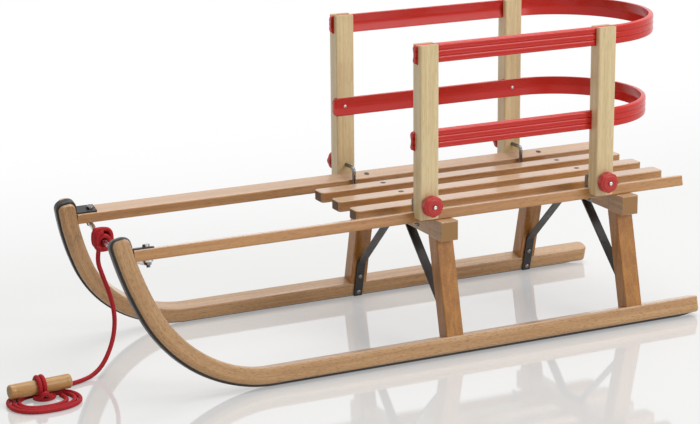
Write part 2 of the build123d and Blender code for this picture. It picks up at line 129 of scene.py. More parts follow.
@dataclass(frozen=True)
class VarnishedWood:
    """Sawn and planed hardwood under clear varnish.

    It gives the eye long soft tone streaks, fine fibre lines, short dark ray flecks, darker end grain,
    tops lightened by a painted sheen and a clear coat that whitens faces seen at a low angle.
    Flecks and fibre lines are several times coarser than in real beech, whose own are too fine to
    show in the render.
    """

    name: str
    pale: str
    deep: str
    fleck: str
    end_grain: str
    grain: Grain
    fleck_length_mm: float = 11.0
    fleck_width_mm: float = 1.7
    fleck_share: float = 0.55
    streak_width_mm: float = 9.0
    streak_stretch: float = 45.0
    fibre_length_mm: float = 25.0
    fibres_per_cm: float = 9.0
    fibre_depth_mm: float = 0.3
    roughness: float = 0.42
    coat: float = 0.7
    coat_roughness: float = 0.16
    gloss_ior: float = 1.36
    end_gloss: float = 0.15
    # Share and tone of a painted sheen: upward faces mixed towards a pale tone, standing in for light
    # reflected at a low angle.
    painted_top_sheen: float = 0.0
    painted_sheen_tone: str = "#d2c2b2"

    def grain_noises(self, tree: bpy.types.NodeTree) -> list[bpy.types.NodeSocket]:
        """Stretch three noises along the fibres: tone streaks, fibre lines and ray flecks.

        Args:
            tree: node tree that takes the nodes.

        Returns:
            The three noises, each from 0 to 1.
        """
        if self.grain is Grain.ALONG_PATH:
            place = add_node(tree, "ShaderNodeAttribute", {"attribute_name": "grain"}).outputs["Vector"]
        else:
            coords = add_node(tree, "ShaderNodeTexCoord").outputs["Object"]
            place = add_node(tree, "ShaderNodeMapping", {"vector_type": "POINT"},
                             {"Vector": coords, "Rotation": self.grain.turn}).outputs["Vector"]
        streak = 1.0 / (self.streak_width_mm * MM)
        fibre = self.fibres_per_cm / (10.0 * MM)
        fleck = 1.0 / (self.fleck_width_mm * MM)
        patterns = ((streak / self.streak_stretch, streak, 3.0),
                    (1.0 / (self.fibre_length_mm * MM), fibre, 2.0),
                    (1.0 / (self.fleck_length_mm * MM), fleck, 1.0))
        noises = []
        for along, across, detail in patterns:
            spot = add_node(tree, "ShaderNodeVectorMath", {"operation": "MULTIPLY"},
                            {0: place, 1: (along, across, across)})
            noises.append(add_node(tree, "ShaderNodeTexNoise", {"noise_dimensions": "3D"}, {
                "Vector": spot.outputs["Vector"], "Scale": 1.0, "Detail": detail,
                "Roughness": 0.6}).outputs["Fac"])
        return noises

    def tint(self, tree: bpy.types.NodeTree, tone: bpy.types.NodeSocket,
             rays: bpy.types.NodeSocket) -> bpy.types.NodeSocket:
        """Mix the wood's colours: pale and deep by the streaks, then the flecks over both.

        Args:
            tree: node tree that takes the nodes.
            tone: noise of the streaks.
            rays: noise of the flecks.

        Returns:
            The colour of a clean, uncut face.
        """
        tone_mix = add_node(tree, "ShaderNodeMapRange", {"interpolation_type": "SMOOTHSTEP"},
                            {"Value": tone, "From Min": 0.3, "From Max": 0.7})
        base = add_node(tree, "ShaderNodeMix", {"data_type": "RGBA"}, {
            "Factor": tone_mix.outputs["Result"], 6: linear(self.pale), 7: linear(self.deep)})
        fleck_mask = add_node(tree, "ShaderNodeMapRange", {"interpolation_type": "SMOOTHSTEP"}, {
            "Value": rays, "From Min": 0.5, "From Max": 0.72, "To Max": self.fleck_share})
        flecked = add_node(tree, "ShaderNodeMix", {"data_type": "RGBA"}, {
            "Factor": fleck_mask.outputs["Result"], 6: base.outputs[2], 7: linear(self.fleck)})
        return flecked.outputs[2]

    def material(self) -> bpy.types.Material:
        """Build the node material.

        Upward faces take a painted sheen: a paler tone by the normal's upright part, standing in for
        light reflected at a low angle. Cut ends take the end grain's colour and lose their gloss by the
        normal's part along the fibres.

        Returns:
            A material whose grain follows Object coordinates, or the path attribute "grain".
        """
        material, tree = blank_material(self.name)
        tone, fibre, rays = self.grain_noises(tree)
        normal = add_node(tree, "ShaderNodeNewGeometry").outputs["Normal"]
        sides = add_node(tree, "ShaderNodeSeparateXYZ", None, {"Vector": normal})
        # Painted sheen: the normal's upright part mixes upward faces towards the pale sheen tone.
        top = add_node(tree, "ShaderNodeMapRange", {"interpolation_type": "SMOOTHSTEP"}, {
            "Value": sides.outputs["Z"], "From Min": 0.6, "From Max": 0.95, "To Max": self.painted_top_sheen})
        sheen_painted = add_node(tree, "ShaderNodeMix", {"data_type": "RGBA"}, {
            "Factor": top.outputs["Result"], 6: self.tint(tree, tone, rays), 7: linear(self.painted_sheen_tone)})
        colour = sheen_painted.outputs[2]
        polish = {"Coat Weight": self.coat, "Specular IOR Level": 0.5}
        if self.grain is not Grain.ALONG_PATH:
            facing = add_node(tree, "ShaderNodeMath", {"operation": "ABSOLUTE"},
                              {0: sides.outputs[self.grain.axis]})
            cut = add_node(tree, "ShaderNodeMapRange", {"interpolation_type": "SMOOTHSTEP"}, {
                "Value": facing.outputs["Value"], "From Min": 0.93, "From Max": 0.99}).outputs["Result"]
            for socket, level in polish.items():
                dulled = add_node(tree, "ShaderNodeMapRange", None, {
                    "Value": cut, "To Min": level, "To Max": self.end_gloss * level})
                polish[socket] = dulled.outputs["Result"]
            ended = add_node(tree, "ShaderNodeMix", {"data_type": "RGBA"},
                             {"Factor": cut, 6: colour, 7: linear(self.end_grain)})
            colour = ended.outputs[2]
        dullness = add_node(tree, "ShaderNodeMapRange", None, {
            "Value": fibre, "To Min": self.roughness - 0.06, "To Max": self.roughness + 0.08})
        relief = add_node(tree, "ShaderNodeBump", None, {
            "Strength": 0.12, "Distance": self.fibre_depth_mm * MM, "Height": fibre})
        shader = add_node(tree, "ShaderNodeBsdfPrincipled", None, {
            "Base Color": colour, "Roughness": dullness.outputs["Result"], "IOR": self.gloss_ior,
            "Coat Roughness": self.coat_roughness, "Coat IOR": self.gloss_ior,
            "Normal": relief.outputs["Normal"], **polish})
        add_node(tree, "ShaderNodeOutputMaterial", None, {"Surface": shader.outputs["BSDF"]})
        return material


@dataclass(frozen=True)
class Metal:
    """Steel: bright zinc plate, or strip blackened and lacquered, with a slightly uneven gloss."""

    name: str
    colour: str
    metallic: float
    roughness: float
    patch_mm: float = 18.0
    spread: float = 0.08

    def material(self) -> bpy.types.Material:
        """Build the node material: one colour whose gloss wanders over patches.

        Returns:
            The material.
        """
        material, tree = blank_material(self.name)
        coords = add_node(tree, "ShaderNodeTexCoord").outputs["Object"]
        patch = add_node(tree, "ShaderNodeTexNoise", None,
                         {"Vector": coords, "Scale": 1.0 / (self.patch_mm * MM), "Detail": 4.0})
        gloss = add_node(tree, "ShaderNodeMapRange", None, {
            "Value": patch.outputs["Fac"], "From Min": 0.3, "From Max": 0.7,
            "To Min": self.roughness - self.spread, "To Max": self.roughness + self.spread})
        shader = add_node(tree, "ShaderNodeBsdfPrincipled", None, {
            "Base Color": linear(self.colour), "Metallic": self.metallic,
            "Roughness": gloss.outputs["Result"]})
        add_node(tree, "ShaderNodeOutputMaterial", None, {"Surface": shader.outputs["BSDF"]})
        return material


@dataclass(frozen=True)
class Moulded:
    """Injection-moulded or extruded polymer: even colour, satin skin with a faint orange peel."""

    name: str
    colour: str
    roughness: float
    gloss: float = 0.5
    ior: float = 1.49
    peel_mm: float = 1.6
    peel_depth_mm: float = 0.1

    def material(self) -> bpy.types.Material:
        """Build the node material: one colour and a very shallow moulded texture.

        Returns:
            The material.
        """
        material, tree = blank_material(self.name)
        coords = add_node(tree, "ShaderNodeTexCoord").outputs["Object"]
        peel = add_node(tree, "ShaderNodeTexNoise", None,
                        {"Vector": coords, "Scale": 1.0 / (self.peel_mm * MM), "Detail": 2.0})
        relief = add_node(tree, "ShaderNodeBump", None, {
            "Strength": 0.04, "Distance": self.peel_depth_mm * MM, "Height": peel.outputs["Fac"]})
        shader = add_node(tree, "ShaderNodeBsdfPrincipled", None, {
            "Base Color": linear(self.colour), "Roughness": self.roughness, "IOR": self.ior,
            "Specular IOR Level": self.gloss, "Normal": relief.outputs["Normal"]})
        add_node(tree, "ShaderNodeOutputMaterial", None, {"Surface": shader.outputs["BSDF"]})
        return material


@dataclass(frozen=True)
class BraidedCord:
    """Braided polypropylene cord: crossing strands with painted shade in the gaps, dry and slightly fuzzy.
    """

    name: str
    colour: str
    painted_gap_shade: str
    strand_mm: float = 3.2
    strands_round: int = 4
    strand_depth_mm: float = 0.5

    def material(self) -> bpy.types.Material:
        """Build the node material on the UV map: u is metres along, v is turns round the cord.

        Returns:
            A material with two sets of crossing waves, so that their product is a braid.
        """
        material, tree = blank_material(self.name)
        uv = add_node(tree, "ShaderNodeUVMap", {"uv_map": "along"}).outputs["UV"]
        split = add_node(tree, "ShaderNodeSeparateXYZ", None, {"Vector": uv})
        run = add_node(tree, "ShaderNodeMath", {"operation": "MULTIPLY"},
                       {0: split.outputs["X"], 1: ROUND_TURN / (self.strand_mm * MM)})
        waves = []
        for way in (1.0, -1.0):
            lay = add_node(tree, "ShaderNodeMath", {"operation": "MULTIPLY_ADD"}, {
                0: split.outputs["Y"], 1: way * ROUND_TURN * self.strands_round, 2: run.outputs["Value"]})
            waves.append(add_node(tree, "ShaderNodeMath", {"operation": "SINE"},
                                  {0: lay.outputs["Value"]}).outputs["Value"])
        weave = add_node(tree, "ShaderNodeMath", {"operation": "MULTIPLY"}, {0: waves[0], 1: waves[1]})
        depth = add_node(tree, "ShaderNodeMapRange", {"interpolation_type": "SMOOTHSTEP"},
                         {"Value": weave.outputs["Value"], "From Min": -0.9, "From Max": 0.3})
        # Painted shade: the low places between the strands take the darker gap colour.
        tint = add_node(tree, "ShaderNodeMix", {"data_type": "RGBA"}, {
            "Factor": depth.outputs["Result"], 6: linear(self.painted_gap_shade), 7: linear(self.colour)})
        relief = add_node(tree, "ShaderNodeBump", None, {
            "Strength": 0.5, "Distance": self.strand_depth_mm * MM, "Height": depth.outputs["Result"]})
        shader = add_node(tree, "ShaderNodeBsdfPrincipled", None, {
            "Base Color": tint.outputs[2], "Roughness": 0.65, "IOR": 1.45, "Specular IOR Level": 0.25,
            "Normal": relief.outputs["Normal"]})
        add_node(tree, "ShaderNodeOutputMaterial", None, {"Surface": shader.outputs["BSDF"]})
        return material


# Bent beech: warm mid brown, many short flecks that follow the curl, a hard clear gloss, a painted sheen on
# top.
RUNNER_BEECH = VarnishedWood(
    "steam bent beech", "#be9668", "#a87d51", "#7d5834", "#8f6b4a", Grain.ALONG_PATH,
    fleck_length_mm=7.0, fleck_width_mm=1.05, fleck_share=0.6, streak_width_mm=6.0, coat=0.9, painted_top_sheen=0.2)
# Slats: redder and plainer, the glossiest wood, tops lightened by a painted sheen, dark cut ends.
SLAT_BEECH = VarnishedWood(
    "planed beech slats", "#b78652", "#a2703e", "#80582d", "#644b38", Grain.ALONG_X,
    fleck_share=0.4, coat=1.0, painted_top_sheen=0.38)
# Legs: the deepest brown, with fine upright fibres.
LEG_BEECH = VarnishedWood(
    "planed beech legs", "#b17a3b", "#98642e", "#73491b", "#8a6a4c", Grain.ALONG_Z,
    fleck_length_mm=6.0, fleck_width_mm=1.2, streak_width_mm=7.0, coat=0.6)
# Yokes: greyer brown and duller, with few flecks.
YOKE_BEECH = VarnishedWood(
    "sawn beech yokes", "#b8936b", "#9d7a54", "#7a593a", "#9d7953", Grain.ALONG_Y,
    fleck_share=0.45, coat=0.5)
# Posts: straw yellow with long thin pores.
POST_BEECH = VarnishedWood(
    "pale planed beech", "#dcc79b", "#ceb689", "#b49866", "#b59a70", Grain.ALONG_Z,
    fleck_length_mm=16.0, fleck_width_mm=1.1, fleck_share=0.4, streak_width_mm=5.0)
# Handle: yellow brown, the dullest wood.
HANDLE_BEECH = VarnishedWood(
    "turned beech handle", "#c0955c", "#ac7f49", "#865d31", "#a5835c", Grain.ALONG_X,
    fleck_share=0.35, coat=0.4)
# Blackened strip: nearly black, with a soft grey sheen.
BLACK_STRIP = Metal("blackened steel strip", "#2a2827", 0.35, 0.34)
# Zinc plate: bright and cold, a blurred mirror of the white room.
BRIGHT_ZINC = Metal("zinc plated steel", "#c9c9c6", 1.0, 0.28, patch_mm=6.0)
# Oiled steel: a darker grey mirror.
GREY_STEEL = Metal("oiled grey steel", "#7d7b78", 1.0, 0.27, patch_mm=6.0)
# Dark screws: dark brown dots with a dull rim of light; under the yokes their darkness is painted shade.
DARK_SCREW = Metal("dark screw steel", "#3a322c", 0.6, 0.42, patch_mm=4.0)
# Bands: clear red with a narrow highlight on each bead.
BAND_PLASTIC = Moulded("extruded red polymer", "#c02319", 0.2, gloss=0.35)
# Knobs: a duller, softer red than the bands.
KNOB_PLASTIC = Moulded("moulded red polymer", "#b4332d", 0.4, gloss=0.4)
# Rope: dry dark red, with painted shade between its strands.
ROPE_CORD = BraidedCord("braided red cord", "#b0252b", "#8c1319")


def placed(name: str, mesh: bpy.types.Mesh, finish: bpy.types.Material, crease: float,
           merge: bool) -> bpy.types.Object:
    """Turn a closed mesh into a piece that rides the sled, its faces pointing outwards.

    Args:
        name: piece name.
        mesh: closed mesh at its place on the sled.
        finish: material of the piece.
        crease: angle in degrees past which an edge is shaded sharp.
        merge: whether points in the same place become one first.

    Returns:
        The new object.
    """
    work = bmesh.new()
    work.from_mesh(mesh)
    if merge:
        bmesh.ops.remove_doubles(work, verts=work.verts, dist=SAME_PLACE)
    bmesh.ops.recalc_face_normals(work, faces=work.faces)
    work.to_mesh(mesh)
    work.free()
    mesh.shade_smooth()
    mesh.set_sharp_from_angle(angle=math.radians(crease))
    mesh.materials.append(finish)
    obj = bpy.data.objects.new(name, mesh)
    bpy.context.collection.objects.link(obj)
    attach(obj, BODY)
    return obj


def solid(name: str, verts: np.ndarray, faces: list, finish: bpy.types.Material,
          crease: float, layers: dict | None = None) -> bpy.types.Object:
    """Make a closed piece from points and faces.

    Args:
        name: piece name.
        verts: points in metres, one row each.
        faces: corner numbers of each face.
        finish: material of the piece.
        crease: angle in degrees past which an edge is shaded sharp.
        layers: point attributes by name, each one row of three numbers a point.

    Returns:
        The new object, with doubles merged.
    """
    mesh = bpy.data.meshes.new(name)
    mesh.from_pydata(verts.tolist(), [], faces)
    for key, values in (layers or {}).items():
        layer = mesh.attributes.new(key, "FLOAT_VECTOR", "POINT")
        layer.data.foreach_set("vector", values.ravel())
    return placed(name, mesh, finish, crease, merge=True)


def ring_faces(rings: int, points: int, start: int = 0) -> list:
    """Faces that join closed rings of points one after another, with a flat cap at each end.

    Args:
        rings: how many rings.
        points: points in a ring.
        start: number of the first point.

    Returns:
        Corner numbers of quads, then of the caps.
    """
    row, col = np.meshgrid(np.arange(rings - 1), np.arange(points), indexing="ij")
    here, above = row * points, (row + 1) * points
    nxt = (col + 1) % points
    quads = np.stack([here + col, here + nxt, above + nxt, above + col], -1)
    last = start + (rings - 1) * points
    caps = [list(range(start + points - 1, start - 1, -1)), list(range(last, last + points))]
    return (quads.reshape(-1, 4) + start).tolist() + caps


def turned(profile: np.ndarray, base: np.ndarray, axis: np.ndarray, sides: int,
           lobes: np.ndarray | None = None) -> Rings:
    """Surface of revolution: each profile row (along, radius) is a circle round the axis.

    Args:
        profile: rows of distance along the axis and radius, in metres.
        base: where the axis starts.
        axis: direction of the axis.
        sides: points round the circle.
        lobes: factor on the radius for each profile row and each point round, or None.

    Returns:
        The ringed surface.
    """
    axis = axis / np.linalg.norm(axis)
    ref = UP if abs(axis[2]) < 0.9 else np.array([1.0, 0.0, 0.0])
    side_a = np.cross(axis, ref)
    side_a /= np.linalg.norm(side_a)
    side_b = np.cross(axis, side_a)
    angle = np.linspace(0, ROUND_TURN, sides, endpoint=False)[:, None]
    spoke = np.cos(angle) * side_a + np.sin(angle) * side_b
    radius = profile[:, 1:2] * (np.ones((1, sides)) if lobes is None else lobes)
    points = base + profile[:, None, 0:1] * axis + radius[..., None] * spoke
    return points.reshape(-1, 3), len(profile), sides


def gather(pieces: list[Rings]) -> tuple[np.ndarray, list]:
    """Join ringed surfaces into one mesh.

    Args:
        pieces: the surfaces.

    Returns:
        All points, and the faces that join them.
    """
    verts, faces, start = [], [], 0
    for points, rings, sides in pieces:
        verts.append(points)
        faces += ring_faces(rings, sides, start)
        start += len(points)
    return np.concatenate(verts), faces


def way_along(path: np.ndarray) -> np.ndarray:
    """Way from a path's start to each station: the running sum of its steps."""
    return np.concatenate([[0.0], np.cumsum(np.linalg.norm(np.diff(path, axis=0), axis=1))])


def spread_evenly(path: np.ndarray, step: float) -> np.ndarray:
    """Resample a path by straight lines between its stations.

    Args:
        path: stations, one row each.
        step: wanted distance between stations, which is rounded to fit the length.

    Returns:
        The new stations.
    """
    run = way_along(path)
    at = np.linspace(0, run[-1], max(int(round(run[-1] / step)), 4) + 1)
    return np.stack([np.interp(at, run, path[:, k]) for k in range(3)], 1)


def quarter_round(radius: float, way: np.ndarray) -> np.ndarray:
    """Height that a quarter round has lost after a way d into it: r - sqrt(r^2 - d^2)."""
    return radius - np.sqrt(np.clip(radius ** 2 - way ** 2, 0, None))


def carried(path: np.ndarray, radius: float, sides: int) -> tuple[np.ndarray, np.ndarray]:
    """Circle carried along a path, square to its direction at every station.

    The circle's reference is the upright where the path runs level and a level direction near +Y
    where it runs upright, with a smooth step between slopes of 0.5 and 0.9.

    Args:
        path: stations in metres, one row each.
        radius: circle's radius.
        sides: points round the circle.

    Returns:
        Points, ring by ring, and the UV of each: metres along and share of a turn.
    """
    tangent = np.gradient(path, axis=0)
    tangent /= np.linalg.norm(tangent, axis=1, keepdims=True)
    steep = np.clip((np.abs(tangent[:, 2:3]) - 0.5) / 0.4, 0, 1)
    steep = steep * steep * (3 - 2 * steep)
    ref = (1 - steep) * UP + steep * np.array([0.25, 1.0, 0.0])
    side_a = np.cross(tangent, ref)
    side_a /= np.linalg.norm(side_a, axis=1, keepdims=True)
    side_b = np.cross(tangent, side_a)
    angle = np.linspace(0, ROUND_TURN, sides, endpoint=False)
    ring = np.cos(angle)[None, :, None] * side_a[:, None] + np.sin(angle)[None, :, None] * side_b[:, None]
    points = path[:, None] + radius * ring
    uv = np.stack(np.broadcast_arrays(way_along(path)[:, None], (angle / ROUND_TURN)[None]), -1)
    return points.reshape(-1, 3), uv.reshape(-1, 2)


def cord_solid(name: str, paths: list[np.ndarray], radius: float, finish: bpy.types.Material,
               sides: int = 14, crease: float = 50.0) -> bpy.types.Object:
    """Make a round cord, or several laid together, with a UV map that runs along them.

    Args:
        name: piece name.
        paths: centre lines in metres.
        radius: cord's radius.
        finish: material.
        sides: points round the cord.
        crease: angle in degrees past which an edge is shaded sharp.

    Returns:
        The new object.
    """
    verts, uvs, faces, start = [], [], [], 0
    for path in paths:
        points, uv = carried(path, radius, sides)
        faces += ring_faces(len(path), sides, start)
        verts.append(points)
        uvs.append(uv)
        start += len(points)
    mesh = bpy.data.meshes.new(name)
    mesh.from_pydata(np.concatenate(verts).tolist(), [], faces)
    corner = np.zeros(len(mesh.loops), dtype=np.int32)
    mesh.loops.foreach_get("vertex_index", corner)
    flat = np.concatenate(uvs)[corner]
    sizes = np.zeros(len(mesh.polygons), dtype=np.int32)
    mesh.polygons.foreach_get("loop_total", sizes)
    face_of = np.repeat(np.arange(len(sizes)), sizes)
    # A quad over the seam would run its UV backwards, so its low corners go up by one turn.
    high = np.zeros(len(sizes))
    np.maximum.at(high, face_of, flat[:, 1])
    flat[:, 1] += (high[face_of] > 0.7) & (flat[:, 1] < 0.3) & (sizes[face_of] == 4)
    layer = mesh.uv_layers.new(name="along")
    layer.data.foreach_set("uv", flat.ravel())
    return placed(name, mesh, finish, crease, merge=False)


def dress(finish: bpy.types.Material, *nodes: str) -> None:
    """Give CAD nodes a finish through their material slots.

    Args:
        finish: the material.
        nodes: names of the nodes.
    """
    for name in nodes:
        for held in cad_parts[name].material_slots:
            held.material = finish


@dataclass
class Lean:
    """The leaning plane of one side: x forward, u up the plane, v outwards of it."""

    side: int
    angle: float = math.radians(13.65)
    foot_y: float = 179.0
    foot_z: float = 1.652

    def at(self, x: float | np.ndarray, u: float | np.ndarray, v: float | np.ndarray) -> np.ndarray:
        """Row points of places on the plane.

        Args:
            x: forward, in millimetres.
            u: up the plane.
            v: outwards of it.

        Returns:
            The points in metres.
        """
        s, c = math.sin(self.angle), math.cos(self.angle)
        y = self.side * (self.foot_y - u * s + v * c)
        return np.stack(np.broadcast_arrays(x, y, self.foot_z + u * c + v * s), -1) * MM

    def up(self) -> np.ndarray:
        """Direction up the plane."""
        return np.array([0.0, -self.side * math.sin(self.angle), math.cos(self.angle)])

    def out(self) -> np.ndarray:
        """Direction out of the plane, away from the sled's middle."""
        return np.array([0.0, self.side * math.cos(self.angle), math.sin(self.angle)])


SIDES = {"left": Lean(1), "right": Lean(-1)}


def round_head(base: np.ndarray, axis: np.ndarray, radius: float, height: float) -> Rings:
    """Domed screw head with a dished drive: about height times (1 - (r / R)^2), lower in the middle.

    Args:
        base: middle of the head's seat, in metres.
        axis: direction that the head looks in.
        radius: head's radius.
        height: head's height.

    Returns:
        The ringed surface.
    """
    share = np.array([1.0, 1.0, 0.92, 0.75, 0.55, 0.36, 0.3, 0.18, 0.0])
    rise = height * np.array([0.0, 0.3, 0.55, 0.8, 0.95, 1.0, 0.7, 0.55, 0.5])
    return turned(np.stack([rise, share * radius], 1), base, axis, 18)


def hexagon(base: np.ndarray, axis: np.ndarray, across: float, height: float) -> Rings:
    """Hexagon head or nut: radius of a hexagon, chamfered at its top to a circle inside it.

    Args:
        base: middle of its seat, in metres.
        axis: direction that it looks in.
        across: distance over its flats.
        height: its height.

    Returns:
        The ringed surface.
    """
    sides = 36
    angle = np.linspace(0, ROUND_TURN, sides, endpoint=False)
    flat = 0.5 * across / np.cos((angle + np.pi / 6) % (np.pi / 3) - np.pi / 6)
    disc = np.full(sides, 0.5 * across * 0.94)
    rows = np.array([0.0, 0.0, 0.82, 1.0, 1.0]) * height
    radii = np.stack([flat * 0.0, flat, flat, disc, disc * 0.0])
    return turned(np.stack([rows, np.ones(5)], 1), base, axis, sides, radii)


def arc_rows(centre: tuple[float, float], radius: float, start: float, end: float, count: int) -> np.ndarray:
    """Stations on an arc in a side's plane, whose angle is counted from straight down.

    Args:
        centre: x and u of the arc's centre.
        radius: its radius.
        start: first angle in radians.
        end: last angle.
        count: number of stations.

    Returns:
        Rows of x, u and the outward normal's two parts.
    """
    x, u = centre
    a = np.linspace(start, end, count)
    return np.stack([x + radius * np.sin(a), u - radius * np.cos(a), np.sin(a), -np.cos(a)], 1)


@dataclass
class SideFrames:
    """Runners, steel shoes, outer slats and the plates on the slats' fronts."""

    wood: bpy.types.Material
    slats: bpy.types.Material
    strip: bpy.types.Material
    bolt: bpy.types.Material
    rear: float = -498.5
    bend_x: float = 264.99
    height: float = 26.5
    width: float = 28.0
    bend_radius: float = 215.0
    bend_angle: float = 65.8
    tip_radius: float = 490.0
    tip_angle: float = 78.8
    tip_back_angle: float = 77.9
    tip_round: float = 9.0
    end_round: float = 8.0
    eased: float = 2.5
    sole_round: float = 6.5
    grain_shift: float = 400.0
    shoe: float = 3.5
    shoe_width: float = 14.0
    shoe_gap: float = 12.0
    shoe_corner: float = 2.4
    shoe_sunk: float = 0.3
    shoe_runout: float = 20.0
    shoe_end_share: float = 0.1
    slat_top: float = OUTER_SLAT_TOP
    slat_thickness: float = 17.0
    plate: float = 2.5
    bolt_x: float = 441.2
    bolt_across: float = 10.0
    head_height: float = 4.0
    nut_height: float = 4.5
    eye_depth: float = 3.0
    thread_length: float = 8.0
    thread_radius: float = 2.9
    thread_depth: float = 0.25
    thread_end: float = 0.5

    def bend_centre(self) -> tuple[float, float]:
        """Centre of the bend's arc, as x and u."""
        return self.bend_x, self.shoe + self.bend_radius

    def tip_centre(self) -> tuple[float, float]:
        """Centre of the tip's arc, on the line from the bend's end through the bend's centre.

        Returns:
            Its x and u.
        """
        x, u = self.bend_centre()
        bend = math.radians(self.bend_angle)
        past = self.tip_radius - self.bend_radius
        return x - past * math.sin(bend), u + past * math.cos(bend)

    def middle_line(self) -> tuple[np.ndarray, np.ndarray, np.ndarray, np.ndarray, np.ndarray]:
        """Stations of the runner's middle: a straight, the bend's arc, then the tip's wider arc.

        They crowd together over the rear round and over the tip's round, which goes straight on.

        Returns:
            Way along, x, u, heading above level in radians, and way into the tip's round.
        """
        mid = self.height / 2
        bend, tip = math.radians(self.bend_angle), math.radians(self.tip_angle)
        arc_r, far_r = self.bend_radius - mid, self.tip_radius - mid
        straight = self.bend_x - self.rear
        turn_len, rise_len = arc_r * bend, far_r * (tip - bend)
        whole = straight + turn_len + rise_len
        along = np.concatenate([
            self.end_round * (1 - np.cos(np.linspace(0, np.pi / 2, 8))),
            np.linspace(2 * self.end_round, straight, 60)[:-1],
            straight + np.linspace(0, turn_len, 48)[:-1],
            straight + turn_len + np.linspace(0, rise_len, 24),
            whole + self.tip_round * np.sin(np.linspace(0, np.pi / 2, 10))[1:]])
        turn_a = np.clip((along - straight) / arc_r, 0, bend)
        rise_a = bend + np.clip((along - straight - turn_len) / far_r, 0, tip - bend)
        past = np.clip(along - whole, 0, None)
        bend_x, bend_u = self.bend_centre()
        tip_x, tip_u = self.tip_centre()
        on_rise = along > straight + turn_len
        x = np.where(on_rise, tip_x + far_r * np.sin(rise_a), bend_x + arc_r * np.sin(turn_a))
        x = np.where(along < straight, self.rear + along, x) + past * math.cos(tip)
        u = np.where(on_rise, tip_u - far_r * np.cos(rise_a), bend_u - arc_r * np.cos(turn_a))
        return along, x, u + past * math.sin(tip), np.where(on_rise, rise_a, turn_a), past

    def runner(self, name: str, lean: Lean) -> bpy.types.Object:
        """Carry a rounded rectangle along the runner's middle line.

        Over the tip's round the rectangle gets lower, and over the rear round it gets narrower,
        both by a quarter round. Its upper corners are eased and its lower ones, the sole's, have a
        wider round. The attribute "grain" is (way along, across, up) in metres.

        Args:
            name: "left" or "right".
            lean: plane of that side.

        Returns:
            The runner.
        """
        along, x, u, heading, past = self.middle_line()
        half_w = self.width / 2 - quarter_round(self.end_round, np.clip(self.end_round - along, 0, None))
        half_h = self.height / 2 - quarter_round(self.tip_round, past)
        arc = np.radians(np.linspace(0, 90, 7))
        corner_v = np.concatenate([np.cos(arc), -np.sin(arc), -np.cos(arc), np.sin(arc)])
        corner_n = np.concatenate([np.sin(arc), np.cos(arc), -np.sin(arc), -np.cos(arc)])
        sign_v = np.repeat([1, -1, -1, 1], len(arc))
        sign_n = np.repeat([1, 1, -1, -1], len(arc))
        sole = np.minimum(self.sole_round, 0.9 * np.minimum(half_w, half_h))[:, None]
        easing = np.where(sign_n[None] > 0, self.eased, sole)
        v = sign_v * (half_w[:, None] - easing) + easing * corner_v
        n = sign_n * (half_h[:, None] - easing) + easing * corner_n
        px = x[:, None] - n * np.sin(heading)[:, None]
        pu = u[:, None] + n * np.cos(heading)[:, None]
        verts = lean.at(px, pu, v).reshape(-1, 3)
        across = v + self.grain_shift * lean.side
        grain = np.stack(np.broadcast_arrays(along[:, None], across, n), -1).reshape(-1, 3) * MM
        obj = solid(f"bent_runner_{name}", verts, ring_faces(*v.shape), self.wood, crease=40.0,
                    layers={"grain": grain})
        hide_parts(f"runner_{name}")
        return obj

    def shoe_piece(self, name: str, lean: Lean) -> bpy.types.Object:
        """Carry the steel strip's section along the runner's outline, over the tip and down its back.

        The outline is a straight, the bend's arc, the tip's arc, two arcs of the tip's round and a
        short arc behind. The section is a rectangle with its two free corners rounded, and its
        thickness runs out towards the rear.

        Args:
            name: "left" or "right".
            lean: plane of that side.

        Returns:
            The shoe.
        """
        bend, tip, back = (math.radians(a) for a in (self.bend_angle, self.tip_angle, self.tip_back_angle))
        tip_x, tip_u = self.tip_centre()
        inner = self.tip_radius - self.height
        run = np.linspace(self.rear + self.shoe_gap, self.bend_x, 60)[:-1]
        run = np.concatenate([[run[0]], run[0] + np.array([1.0, 4.0, 10.0]), run[1:]])
        straight = np.stack([run, np.full_like(run, self.shoe), run * 0, run * 0 - 1], 1)
        front, behind = ((tip_x + r * math.sin(tip), tip_u - r * math.cos(tip))
                         for r in (self.tip_radius - self.tip_round, inner + self.tip_round))
        late = arc_rows((tip_x, tip_u), inner, tip, back, 4)
        late[:, 2:] *= -1
        line = np.concatenate([straight, arc_rows(self.bend_centre(), self.bend_radius, 0, bend, 50)[:-1],
                               arc_rows((tip_x, tip_u), self.tip_radius, bend, tip, 24)[:-1],
                               arc_rows(front, self.tip_round, tip, tip + math.pi / 2, 12),
                               arc_rows(behind, self.tip_round, tip + math.pi / 2, tip + math.pi, 12)[:-1],
                               late])
        r, half = self.shoe_corner, self.shoe_width / 2
        turn = np.radians(np.linspace(0, 90, 6))
        v = np.concatenate([[-half], -half + r - r * np.cos(turn), half - r + r * np.sin(turn), [half]])
        h = self.shoe - r + r * np.concatenate([np.sin(turn), np.cos(turn)])
        h = np.concatenate([[-self.shoe_sunk], h, [-self.shoe_sunk]])
        grow = np.clip(self.shoe_end_share + (line[:, 0:1] - line[0, 0]) / self.shoe_runout, 0, 1)
        x = line[:, 0:1] + line[:, 2:3] * h * grow
        u = line[:, 1:2] + line[:, 3:4] * h * grow
        verts = lean.at(x, u, np.broadcast_to(v, x.shape)).reshape(-1, 3)
        obj = solid(f"steel_shoe_{name}", verts, ring_faces(*x.shape), self.strip, crease=45.0)
        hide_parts(f"runner_shoe_{name}")
        return obj

